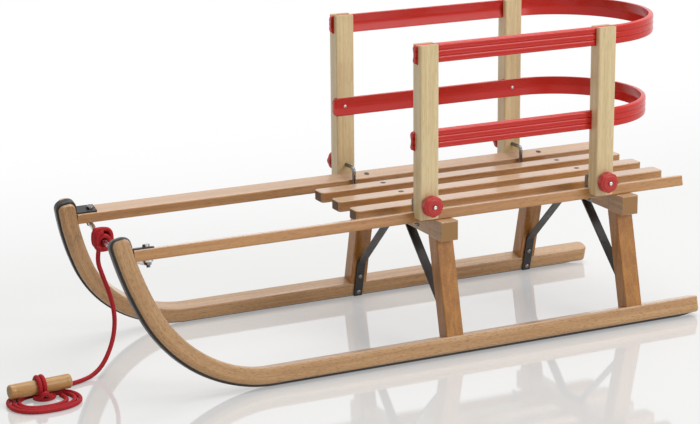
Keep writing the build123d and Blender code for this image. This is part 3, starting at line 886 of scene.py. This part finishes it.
    def tip_bolt(self, name: str, lean: Lean) -> bpy.types.Object:
        """Bolt through plate, slat and bar eye: hexagon head on top, nut and thread end below.

        The thread is turned, and its radius is a sine of the way along with a pitch of 1 mm.

        Args:
            name: "left" or "right".
            lean: plane of that side.

        Returns:
            The bolt.
        """
        up = lean.up()
        top = lean.at(self.bolt_x, self.slat_top + self.plate, 0.0)
        under = lean.at(self.bolt_x, self.slat_top - self.slat_thickness - self.eye_depth, 0.0)
        run = np.linspace(0, self.thread_length, 49)
        thread = np.stack([run, self.thread_radius + self.thread_depth * np.sin(ROUND_TURN * run)], 1)
        thread = np.concatenate([[[0, 0]], thread, [[self.thread_length + self.thread_end, 0]]])
        verts, faces = gather([
            hexagon(top, up, self.bolt_across * MM, self.head_height * MM),
            hexagon(under, -up, self.bolt_across * MM, self.nut_height * MM),
            turned(thread * MM, under, -up, 16)])
        return solid(f"plate_bolt_{name}", verts, faces, self.bolt, crease=30.0)

    def build(self) -> list[bpy.types.Object]:
        """Build both sides and dress their CAD nodes.

        Returns:
            The new pieces.
        """
        made = []
        for name, lean in SIDES.items():
            made += [self.runner(name, lean), self.shoe_piece(name, lean), self.tip_bolt(name, lean)]
            dress(self.strip, f"tip_plate_{name}")
            dress(self.slats, f"outer_slat_{name}")
        return made


@dataclass
class Seat:
    """Inner slats, yokes, legs and braces with their screws."""

    slats: bpy.types.Material
    legs: bpy.types.Material
    yokes: bpy.types.Material
    strip: bpy.types.Material
    screw: bpy.types.Material
    bolt: bpy.types.Material
    stations: tuple[float, float] = (-43.2, -373.5)
    pitch: float = 64.0
    seat_top: float = 224.0
    outer_top: float = OUTER_SLAT_TOP
    dish_radius: float = 4.4
    dish_scale: float = 2.0
    head_radius: float = 4.0
    head_height: float = 2.6
    brace_face: float = -17.0
    brace_screws: tuple[float, float] = (14.0, 44.0)
    brace_thickness: float = 3.0
    yoke_bottom: float = 182.4
    yoke_screw_y: float = 12.0

    def slat_screws(self) -> bpy.types.Object:
        """Dished dark screw heads over the yokes on all five slats: a low turned rim round a hollow.

        Returns:
            The screws as one piece.
        """
        dish = np.array([[0.0, 1.0], [0.16, 0.97], [0.2, 0.86], [0.1, 0.6], [0.06, 0.3], [0.05, 0.0]])
        dish = dish * [self.dish_scale, self.dish_radius] * MM
        heads = []
        for x in self.stations:
            for row in (-1, 0, 1):
                heads.append(turned(dish, np.array([x, row * self.pitch, self.seat_top]) * MM, UP, 20))
            for lean in SIDES.values():
                heads.append(turned(dish, lean.at(x, self.outer_top, 0.0), lean.up(), 20))
        verts, faces = gather(heads)
        return solid("slat_screws", verts, faces, self.screw, crease=30.0)

    def brace_heads(self) -> bpy.types.Object:
        """Round-head screws at each brace's foot.

        Returns:
            The screws as one piece.
        """
        heads = []
        for x in self.stations:
            for lean in SIDES.values():
                for u in self.brace_screws:
                    heads.append(round_head(lean.at(x, u, self.brace_face), -lean.out(),
                                            self.head_radius * MM, self.head_height * MM))
        verts, faces = gather(heads)
        return solid("brace_screws", verts, faces, self.bolt, crease=30.0)

    def yoke_heads(self) -> bpy.types.Object:
        """Dark round-head screws that hold the braces under each yoke; their darkness is painted shade.

        Returns:
            The screws as one piece.
        """
        under = self.yoke_bottom - self.brace_thickness
        heads = []
        for x in self.stations:
            for lean in SIDES.values():
                heads.append(round_head(np.array([x, lean.side * self.yoke_screw_y, under]) * MM, -UP,
                                        self.head_radius * MM, self.head_height * MM))
        verts, faces = gather(heads)
        # Painted shade: these screws take the dark finish, while the same braces' foot screws are grey
        # steel.
        return solid("yoke_screws", verts, faces, self.screw, crease=30.0)

    def build(self) -> list[bpy.types.Object]:
        """Dress the CAD nodes and add the screws.

        Returns:
            The new pieces.
        """
        dress(self.slats, "inner_slat_left", "inner_slat_center", "inner_slat_right")
        dress(self.yokes, "yoke_front", "yoke_rear")
        for end in ("front", "rear"):
            for name in SIDES:
                dress(self.legs, f"leg_{end}_{name}")
                dress(self.strip, f"brace_{end}_{name}")
        return [self.slat_screws(), self.brace_heads(), self.yoke_heads()]


@dataclass
class PullGear:
    """Pull bar with the rope wound on it, the rope down to the floor, its coil and the handle."""

    cord: bpy.types.Material
    bar: bpy.types.Material
    handle: bpy.types.Material
    bar_front: float = 451.2
    bar_z: float = 197.0
    diameter: float = 7.0
    rope_low: float = 3.6
    rope_step: float = 1.5
    coil_ahead: float = 145.5
    coil_forward: float = 2.5
    coil_y: float = 91.5
    coil_power: float = 2.4
    coil_reach: tuple[float, ...] = (44, 51, 43, 56.5, 37, 43, 35, 49, 30, 35.5, 26, 36, 26)
    coil_quarters: float = 11.4
    wind_from: float = -66.0
    wind_to: float = -36.0
    wind_turns: int = 4
    tight_radius: float = 7.6
    tight_start: float = 0.6
    disc_turns: float = 1.15
    disc_growth: tuple[float, float] = (5.0, 6.4)
    disc_out: float = 2.0
    disc_lift: float = 1.5
    loose_start: float = 0.9
    loose_power: float = 3.0
    loose_radius: float = 10.5
    loose_growth: float = 6.0
    loose_width: float = 0.84
    loose_back: float = 1.5
    loose_lift: float = 3.0
    wander_out: float = 0.5
    wander_along: float = 1.1
    handle_y: float = 72.0
    handle_z: float = 20.0
    handle_radius: float = 11.0
    handle_turn: float = 5.0
    handle_length: float = 98.0
    handle_edge: float = 3.0
    groove_from_end: float = 8.0
    groove_half: float = 1.0
    groove_depth: float = 0.2
    strands_x: tuple[float, float] = (-3.6, 3.6)
    strand_start: float = 212.0
    strand_sweep: float = 268.0
    bight_x: tuple[float, float] = (13.0, -16.0)
    bight_low: float = -58.0
    bight_rise: float = 46.0
    loop_middle: tuple[float, float] = (-6.0, 1.0)
    loop_half: tuple[float, float] = (14.5, 12.5)

    def route(self) -> np.ndarray:
        """Points of the rope in metres: bar, floor, then the coil's turns.

        Each quarter turn of the coil is a quarter of a superellipse, whose two half axes are this
        and the next number of coil_reach, so that the turns lie side by side and fan out in front.

        Returns:
            One row a point.
        """
        bf, low = self.bar_front, self.rope_low
        # Each point is forward, left and up, in millimetres.
        laid = [(bf + 14, -16, 195), (bf + 19, -16, 176), (bf + 12, -11, 150), (bf + 2, -7, 118),
                (bf - 2, -2, 88), (bf + 2.5, 4, 60), (bf + 13, 9, 35), (bf + 28, 15, 15),
                (bf + 47, 23, 5), (bf + 67, 32, low), (bf + 86, 38.5, low), (bf + 105, 43, low),
                (bf + 126, 46.5, low)]
        steps, power = 4, self.coil_power
        for k in range(int(self.coil_quarters * steps) + 1):
            quarter = k // steps
            reach = self.coil_reach[quarter:quarter + 2]
            along_x, along_y = reach if quarter % 2 else reach[::-1]
            a = 0.5 * math.pi * (k / steps - 1)
            c, s = math.cos(a), math.sin(a)
            r = (abs(c / along_x) ** power + abs(s / along_y) ** power) ** (-1 / power)
            laid.append((bf + self.coil_ahead + self.coil_forward + r * c, self.coil_y + r * s, low))
        return np.array(laid) * MM

    def free_rope(self, *on_it: bpy.types.Object) -> bpy.types.Object:
        """Lay the rope as one NURBS line and carry the cord's circle along it.

        Args:
            on_it: the hitch and the handle at the rope's far end. Not used.

        Returns:
            The rope.
        """
        points = self.route()
        curve = bpy.data.curves.new("rope_line", "CURVE")
        curve.dimensions = "3D"
        curve.resolution_u = 10
        spline = curve.splines.new("NURBS")
        spline.points.add(len(points) - 1)
        spline.points.foreach_set("co", np.column_stack([points, np.ones(len(points))]).ravel())
        spline.order_u = 3
        spline.use_endpoint_u = True
        line = bpy.data.objects.new("rope_line", curve)
        bpy.context.collection.objects.link(line)
        bpy.context.view_layer.update()
        walked = bpy.data.meshes.new_from_object(line.evaluated_get(bpy.context.evaluated_depsgraph_get()))
        path = np.zeros(3 * len(walked.vertices))
        walked.vertices.foreach_get("co", path)
        path = spread_evenly(path.reshape(-1, 3), self.rope_step * MM)
        bpy.data.objects.remove(line)
        bpy.data.meshes.remove(walked)
        bpy.data.curves.remove(curve)
        rope = cord_solid("laid_rope", [path], 0.5 * self.diameter * MM, self.cord)
        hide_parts("pull_rope", "rope_coil")
        return rope

    def winding(self) -> bpy.types.Object:
        """Rope bunched on the bar: a tight helix, and over it a loose one that opens towards the near end.

        The tight helix ends in a flat spiral that fills the open end. The loose turns are
        superellipses, a little higher than wide, that grow and rise towards the near end, and sines
        of the turn make their reach and their step wander.

        Returns:
            The winding.
        """
        front, height = self.bar_front, self.bar_z
        turn = np.linspace(0, self.wind_turns, self.wind_turns * 48 + 1)
        share = turn / self.wind_turns
        span = self.wind_to - self.wind_from
        tight = ROUND_TURN * turn + self.tight_start
        helix = np.stack([front + self.tight_radius * np.cos(tight), self.wind_from + span * share,
                          height + self.tight_radius * np.sin(tight)], 1)
        widen = np.linspace(0, 1, 61)[1:]
        last = tight[-1] + ROUND_TURN * self.disc_turns * widen
        wide, high = (self.tight_radius + growth * widen for growth in self.disc_growth)
        disc = np.stack([front + wide * np.cos(last), self.wind_to + self.disc_out * np.sqrt(widen),
                         height + high * np.sin(last) + self.disc_lift * widen], 1)
        inner = np.concatenate([helix, disc])
        loose = -ROUND_TURN * turn + self.loose_start
        near = 1 - share
        square = (np.abs(np.cos(loose)) ** self.loose_power
                  + np.abs(np.sin(loose)) ** self.loose_power) ** (-1 / self.loose_power)
        reach = self.loose_radius + self.loose_growth * near + self.wander_out * np.sin(3.7 * turn)
        reach = reach * square
        step = self.wander_along * np.sin(2.1 * turn) * np.sin(np.pi * share)
        outer = np.stack([front - self.loose_back + self.loose_width * reach * np.cos(loose),
                          self.wind_from + span * near + step,
                          height + self.loose_lift * near + reach * np.sin(loose)], 1)
        obj = cord_solid("wound_rope", [inner * MM, outer * MM], 0.5 * self.diameter * MM, self.cord)
        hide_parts("rope_winding")
        return obj

    def hitch_point(self, x: float | np.ndarray, degrees: np.ndarray,
                    radius: float | np.ndarray) -> np.ndarray:
        """Points round the handle's axis.

        Args:
            x: forward of the handle's middle, in millimetres.
            degrees: turn from the camera's side upwards.
            radius: distance from the axis.

        Returns:
            The points in millimetres.
        """
        a = np.radians(degrees)
        y = self.handle_y + x * math.sin(math.radians(self.handle_turn)) + radius * np.cos(a)
        z = self.handle_z + radius * np.sin(a)
        return np.stack(np.broadcast_arrays(self.bar_front + self.coil_ahead + x, y, z), -1)

    def wrap(self) -> bpy.types.Object:
        """Rope hitched to the handle: two strands over its top, a bight across them and a loop in front.

        The strands are arcs round the handle. The bight rises over them by a strand's width, as the
        root of a cosine bell. The loop is half an ellipse on the floor whose ends go under the handle.

        Returns:
            The hitch.
        """
        reach = self.handle_radius + 0.5 * self.diameter
        share = np.linspace(0, 1, 61)
        bell = 0.5 * (1 - np.cos(ROUND_TURN * share))
        sweep = self.strand_start - self.strand_sweep * share
        paths = [self.hitch_point(x, sweep, reach) for x in self.strands_x]
        start, end = self.bight_x
        paths.append(self.hitch_point(start + (end - start) * share, self.bight_low + self.bight_rise * bell,
                                      reach + self.diameter * np.sqrt(bell)))
        half_turn = np.pi * share
        loop_x, loop_y = self.loop_middle
        half_x, half_y = self.loop_half
        paths.append(np.stack([self.bar_front + self.coil_ahead + loop_x + half_x * np.cos(half_turn),
                               self.handle_y + loop_y + half_y * np.sin(half_turn),
                               np.full_like(share, self.rope_low)], 1))
        obj = cord_solid("laid_wrap", [spread_evenly(path * MM, 1.0 * MM) for path in paths],
                         0.5 * self.diameter * MM, self.cord)
        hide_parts("handle_wrap")
        return obj

    def turned_handle(self) -> bpy.types.Object:
        """Turn the handle: a cylinder with quarter-round ends and a faint groove near each end.

        Returns:
            The handle.
        """
        half, r, edge = 0.5 * self.handle_length, self.handle_radius, self.handle_edge
        arc = np.radians(np.linspace(90, 0, 8))
        end = np.stack([-half + edge * (1 - np.sin(arc)), r - edge + edge * np.cos(arc)], 1)
        groove_x = -half + self.groove_from_end + self.groove_half * np.arange(3)
        groove = np.stack([groove_x, [r, r - self.groove_depth, r]], 1)
        body = np.concatenate([[[-half, 0.0]], end, groove])
        profile = np.concatenate([body, body[::-1] * [-1.0, 1.0]])
        turn = math.radians(self.handle_turn)
        axis = np.array([math.cos(turn), math.sin(turn), 0.0])
        middle = np.array([self.bar_front + self.coil_ahead, self.handle_y, self.handle_z])
        verts, faces = gather([turned(profile * MM, middle * MM, axis, 40)])
        obj = solid("turned_handle", verts, faces, self.handle, crease=40.0)
        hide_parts("pull_handle")
        return obj

    def build(self) -> list[bpy.types.Object]:
        """Lay the rope, turn the handle and dress the bar.

        Returns:
            The new pieces.
        """
        grip, hitch = self.turned_handle(), self.wrap()
        made = [grip, hitch, self.free_rope(hitch, grip), self.winding()]
        dress(self.bar, "pull_bar")
        return made


@dataclass
class Backrest:
    """Posts, ridged bands, clamp knobs and hook bolts."""

    wood: bpy.types.Material
    band: bpy.types.Material
    knob: bpy.types.Material
    zinc: bpy.types.Material
    hook: bpy.types.Material
    posts: tuple[float, float] = (-10.5, -327.2)
    post_outer: float = 160.0
    clamp_z: float = 243.0
    lobes: int = 8
    knob_depth: float = 17.0
    bolt_past_knob: float = 1.5
    bolt_radius: float = 3.0
    bolt_dome: float = 0.8
    upper_band_y: float = 147.0
    upper_band_z: float = 477.0
    lower_band_y: float = 138.25
    lower_band_z: float = 341.0
    band_front: float = 10.0
    band_arc_x: float = -336.5
    band_half: float = 15.0
    band_out: float = 4.25
    band_bead: float = 1.6
    band_beads: int = 3
    bead_power: float = 0.42
    band_hollow: float = 2.8
    hollow_share: float = 0.94
    hollow_round: float = 0.1
    band_edge: float = 0.6
    band_end_round: float = 5.0
    screw_y: float = 136.1
    screw_radius: float = 2.6
    screw_height: float = 1.2

    def band_section(self) -> np.ndarray:
        """Closed section of a band: beads outside, a shallow hollow inside.

        The outer face is a row of beads, |sin|^p of the height. The inner face is a V with a rounded
        bottom, hollow (1 - sqrt(t^2 + r^2)) / (1 - r), with t the height as a share of the half.

        Returns:
            Rows of distance outwards and height.
        """
        up = np.linspace(-1, 1, 49)
        bead = np.abs(np.sin(0.5 * self.band_beads * np.pi * (up + 1))) ** self.bead_power
        outer = np.stack([self.band_out - self.band_bead * (1 - bead),
                          up * (self.band_half - self.band_edge)], 1)
        down = np.linspace(self.hollow_share, -self.hollow_share, 25)
        trough = (1 - np.sqrt(down ** 2 + self.hollow_round ** 2)) / (1 - self.hollow_round)
        hollow = np.stack([self.band_hollow * trough - self.band_out, down * self.band_half], 1)
        edge = self.band_edge - self.band_out
        return np.concatenate([outer, [[edge, self.band_half]], hollow, [[edge, -self.band_half]]])

    def band_piece(self, name: str, y: float, z: float) -> bpy.types.Object:
        """Carry the band's section along a U: straight, half circle, straight.

        Over the round at each end the section gets lower by a quarter round.

        Args:
            name: "upper" or "lower".
            y: half the distance between the straights, at the band's middle.
            z: height of the band's middle.

        Returns:
            The band.
        """
        run = np.concatenate([self.band_end_round * (1 - np.cos(np.linspace(0, np.pi / 2, 8)))[:-1],
                              np.linspace(self.band_end_round, self.band_front - self.band_arc_x, 40)])
        turn = np.linspace(0, np.pi, 73)[1:-1]
        x = np.concatenate([self.band_front - run, self.band_arc_x - y * np.sin(turn),
                            self.band_front - run[::-1]])
        across = np.concatenate([np.full_like(run, y), y * np.cos(turn), np.full_like(run, -y)])
        out_x = np.concatenate([run * 0, -np.sin(turn), run * 0])
        out_y = np.concatenate([run * 0 + 1, np.cos(turn), run * 0 - 1])
        lost = np.clip(self.band_end_round - (self.band_front - x), 0, self.band_end_round)
        tall = 1 - quarter_round(self.band_end_round, lost) / self.band_half
        out, up = self.band_section().T
        px = x[:, None] + out_x[:, None] * out
        py = across[:, None] + out_y[:, None] * out
        pz = z + tall[:, None] * up
        verts = np.stack([px, py, pz], -1).reshape(-1, 3) * MM
        obj = solid(f"beaded_band_{name}", verts, ring_faces(*px.shape), self.band,
                    crease=32.0)
        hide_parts(f"band_{name}")
        return obj

    def knob_piece(self, name: str, x: float, side: int) -> bpy.types.Object:
        """Scalloped knob: a turned profile whose radius is cut by (1 - cos(lobes a)) / 2 mm between lobes.

        The cut fades out on the face, a raised disc with a shallow dish round the bolt.

        Args:
            name: the CAD knob that it replaces.
            x: place of its post.
            side: 1 on the left, -1 on the right.

        Returns:
            The knob.
        """
        # Each row is a distance from the post, a radius and a share of the cut.
        rows = np.array([
            [0.0, 0.0, 0], [0.0, 10.5, 0], [2.6, 10.5, 0], [3.0, 11.0, 0], [3.4, 15.4, 0.8],
            [4.2, 16.6, 1], [5.2, 17.0, 1], [12.2, 17.0, 1], [13.6, 16.7, 1], [14.6, 16.0, 0.9],
            [15.1, 15.0, 0.6], [15.3, 13.6, 0.2], [15.4, 12.8, 0], [16.2, 12.4, 0], [16.7, 11.9, 0],
            [16.9, 11.2, 0], [17.0, 10.2, 0], [17.0, 6.4, 0], [16.9, 5.9, 0], [16.6, 5.5, 0],
            [16.5, 5.0, 0], [16.5, 0.0, 0]])
        sides = 96
        angle = np.linspace(0, ROUND_TURN, sides, endpoint=False)
        dip = 0.5 * (1 - np.cos(self.lobes * angle))
        factor = 1 - rows[:, 2:3] * dip / np.maximum(rows[:, 1:2], 1.0)
        base = np.array([x, side * self.post_outer, self.clamp_z]) * MM
        verts, faces = gather([turned(rows[:, :2] * MM, base, np.array([0.0, side, 0.0]), sides, factor)])
        obj = solid(f"clamp_{name}", verts, faces, self.knob, crease=38.0)
        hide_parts(name)
        return obj

    def heads_on_posts(self, y: float, z: float, outwards: int, radius: float, height: float) -> list[Rings]:
        """Round heads at one place on all four posts.

        Args:
            y: distance from the sled's middle.
            z: height.
            outwards: 1 where the heads look away from the middle, -1 where they look to it.
            radius: head's radius.
            height: head's height.

        Returns:
            The ringed surfaces.
        """
        return [round_head(np.array([x, side * y, z]) * MM, np.array([0.0, outwards * side, 0.0]),
                           radius * MM, height * MM) for x in self.posts for side in (1, -1)]

    def highlit_bolt_ends(self) -> bpy.types.Object:
        """Domed ends of the hook bolts, seen in the middle of each knob, in bright zinc while the bolts are
        grey steel: a painted highlight.

        Returns:
            The ends as one piece.
        """
        end = self.post_outer + self.knob_depth + self.bolt_past_knob
        verts, faces = gather(self.heads_on_posts(end, self.clamp_z, 1, self.bolt_radius, self.bolt_dome))
        # Painted highlight: the bolt's end takes bright zinc, the rest of the same bolt grey steel.
        return solid("highlit_bolt_ends", verts, faces, self.zinc, crease=30.0)

    def band_screws(self) -> bpy.types.Object:
        """Bright round heads that hold the lower band to the posts, on the band's inner face.

        Returns:
            The screws as one piece.
        """
        verts, faces = gather(self.heads_on_posts(self.screw_y, self.lower_band_z, -1, self.screw_radius,
                                                  self.screw_height))
        return solid("band_screws", verts, faces, self.zinc, crease=30.0)

    def build(self) -> list[bpy.types.Object]:
        """Make bands, knobs and screws, and dress the posts and hook bolts.

        Returns:
            The new pieces.
        """
        made = [self.band_screws(), self.highlit_bolt_ends(),
                self.band_piece("upper", self.upper_band_y, self.upper_band_z),
                self.band_piece("lower", self.lower_band_y, self.lower_band_z)]
        for end, x in zip(("front", "rear"), self.posts):
            for name, lean in SIDES.items():
                dress(self.wood, f"post_{end}_{name}")
                dress(self.hook, f"hook_bolt_{end}_{name}")
                made.append(self.knob_piece(f"knob_{end}_{name}", x, lean.side))
        return made


@dataclass(frozen=True)
class SoftBox:
    """One square soft box: its place and width in metres and its power in watts."""

    name: str
    place: tuple[float, float, float]
    width: float
    power: float

    def hang(self, aim: tuple[float, float, float]) -> None:
        """Add the lamp so that it faces a point.

        Args:
            aim: the point, in metres.
        """
        data = bpy.data.lights.new(self.name, "AREA")
        data.shape = "SQUARE"
        data.size = self.width
        data.energy = self.power
        obj = bpy.data.objects.new(self.name, data)
        look = (Vector(aim) - Vector(self.place)).to_track_quat("-Z", "Y")
        obj.matrix_world = Matrix.Translation(self.place) @ look.to_matrix().to_4x4()
        bpy.context.collection.objects.link(obj)


@dataclass
class Studio:
    """Pale glossy floor, soft light and the camera."""

    place: tuple[float, float, float] = (1.5053, 3.00901, 1.10812)
    ahead: tuple[float, float, float] = (-0.42013, -0.86878, -0.26212)
    upward: tuple[float, float, float] = (-0.12246, -0.23193, 0.96499)
    lens: float = 111.691
    shift: tuple[float, float] = (0.0014, 0.001)
    floor_half: float = 9.0
    floor_tone: str = "#d0d0ce"
    bounce_tone: str = "#dbdbda"
    white_tone: str = "#ffffff"
    whiter_behind: tuple[float, float] = (0.1, -1.5)
    whiter_round: tuple[float, float] = (1.8, 4.5)
    veil_least: float = 0.3
    light_level: float = 0.35
    aim: tuple[float, float, float] = (0.0, 0.0, 0.2)
    boxes: tuple[SoftBox, ...] = (SoftBox("overhead_box", (-0.7, -0.3, 3.2), 3.2, 104.0),
                                  SoftBox("camera_side_box", (-2.3, 3.9, 2.5), 2.2, 99.0))

    def camera(self) -> None:
        """Stand the camera at the fitted place, with its axes from the aim and the upright."""
        data = bpy.data.cameras.new("view")
        data.sensor_width = 36.0
        data.lens = self.lens
        data.shift_x, data.shift_y = self.shift
        data.clip_end = 60.0
        ahead = Vector(self.ahead).normalized()
        right = ahead.cross(Vector(self.upward)).normalized()
        up = right.cross(ahead)
        turn = Matrix((right, up, -ahead)).transposed().to_4x4()
        obj = bpy.data.objects.new("view", data)
        obj.matrix_world = Matrix.Translation(self.place) @ turn
        bpy.context.collection.objects.link(obj)
        bpy.context.scene.camera = obj

    def picture_rays(self, tree: bpy.types.NodeTree) -> bpy.types.NodeSocket:
        """Tell the rays that carry the picture from those that only carry light.

        Args:
            tree: node tree that takes the nodes.

        Returns:
            A socket that is 1 for camera, glossy and transmission rays and 0 for all others.
        """
        rays = add_node(tree, "ShaderNodeLightPath").outputs
        direct = add_node(tree, "ShaderNodeMath", {"operation": "MAXIMUM"},
                          {0: rays["Is Camera Ray"], 1: rays["Is Glossy Ray"]})
        return add_node(tree, "ShaderNodeMath", {"operation": "MAXIMUM"}, {
            0: direct.outputs["Value"], 1: rays["Is Transmission Ray"]}).outputs["Value"]

    def floor_material(self) -> bpy.types.Material:
        """Build the polished floor: it gives a pale ground with soft shadows and a mirror image.

        In the picture's rays a white veil lies over the polish. It is thin near the sled and turns
        full behind it and far from it. All other rays meet a plain pale surface.

        Returns:
            The material.
        """
        material, tree = blank_material("polished white floor")
        coords = add_node(tree, "ShaderNodeTexCoord").outputs["Object"]
        split = add_node(tree, "ShaderNodeSeparateXYZ", None, {"Vector": coords})
        away = add_node(tree, "ShaderNodeVectorMath", {"operation": "LENGTH"}, {0: coords})
        behind, rim = (
            add_node(tree, "ShaderNodeMapRange", {"interpolation_type": "SMOOTHSTEP"},
                     {"Value": way, "From Min": start, "From Max": end}).outputs["Result"]
            for way, (start, end) in ((split.outputs["Y"], self.whiter_behind),
                                      (away.outputs["Value"], self.whiter_round)))
        far = add_node(tree, "ShaderNodeMath", {"operation": "MAXIMUM"}, {0: behind, 1: rim})
        veil = add_node(tree, "ShaderNodeMath", {"operation": "MAXIMUM"},
                        {0: far.outputs["Value"], 1: self.veil_least})
        bounce = add_node(tree, "ShaderNodeBsdfDiffuse", None, {"Color": linear(self.bounce_tone)})
        surface = add_node(tree, "ShaderNodeBsdfPrincipled", None, {
            "Base Color": linear(self.floor_tone), "Roughness": 0.05, "IOR": 1.68,
            "Coat Weight": 1.0, "Coat Roughness": 0.04, "Coat IOR": 1.5})
        white = add_node(tree, "ShaderNodeEmission", None,
                         {"Color": linear(self.white_tone), "Strength": 1.0})
        polished = add_node(tree, "ShaderNodeMixShader", None, {
            0: veil.outputs["Value"], 1: surface.outputs["BSDF"], 2: white.outputs["Emission"]})
        mixed = add_node(tree, "ShaderNodeMixShader", None, {
            0: self.picture_rays(tree), 1: bounce.outputs["BSDF"], 2: polished.outputs["Shader"]})
        add_node(tree, "ShaderNodeOutputMaterial", None, {"Surface": mixed.outputs["Shader"]})
        return material

    def floor(self) -> None:
        """Lay the floor, one square under the sled."""
        h = self.floor_half
        mesh = bpy.data.meshes.new("studio_floor")
        mesh.from_pydata([(-h, -h, 0), (h, -h, 0), (h, h, 0), (-h, h, 0)], [], [(0, 1, 2, 3)])
        mesh.materials.append(self.floor_material())
        obj = bpy.data.objects.new("studio_floor", mesh)
        bpy.context.collection.objects.link(obj)

    def world(self) -> None:
        """White to the camera and in reflections, a plain level of light everywhere else."""
        world = bpy.data.worlds.new("studio")
        bpy.context.scene.world = world
        world.use_nodes = True
        tree = world.node_tree
        tree.nodes.clear()
        light, white = (
            add_node(tree, "ShaderNodeBackground", None,
                     {"Color": linear(self.white_tone), "Strength": strength}).outputs["Background"]
            for strength in (self.light_level, 1.0))
        mixed = add_node(tree, "ShaderNodeMixShader", None,
                         {0: self.picture_rays(tree), 1: light, 2: white})
        add_node(tree, "ShaderNodeOutputWorld", None, {"Surface": mixed.outputs["Shader"]})

    def build(self) -> None:
        """Set colour handling, floor, world, lamps and camera."""
        bpy.context.scene.view_settings.view_transform = "Standard"
        self.world()
        self.floor()
        for box in self.boxes:
            box.hang(self.aim)
        self.camera()


def main() -> None:
    """Build the studio and every sub-assembly, and report each piece."""
    logging.basicConfig(level=logging.INFO, format="%(name)s: %(message)s")
    Studio().build()
    strip, zinc, grey = BLACK_STRIP.material(), BRIGHT_ZINC.material(), GREY_STEEL.material()
    slats = SLAT_BEECH.material()
    groups = [
        PullGear(ROPE_CORD.material(), zinc, HANDLE_BEECH.material()),
        SideFrames(RUNNER_BEECH.material(), slats, strip, grey),
        Seat(slats, LEG_BEECH.material(), YOKE_BEECH.material(), strip, DARK_SCREW.material(), grey),
        Backrest(POST_BEECH.material(), BAND_PLASTIC.material(), KNOB_PLASTIC.material(), zinc, grey),
    ]
    for group in groups:
        for piece in group.build():
            LOG.info("%s: %s, %d faces", type(group).__name__, piece.name, len(piece.data.polygons))


if __name__ == "__main__":
    main()
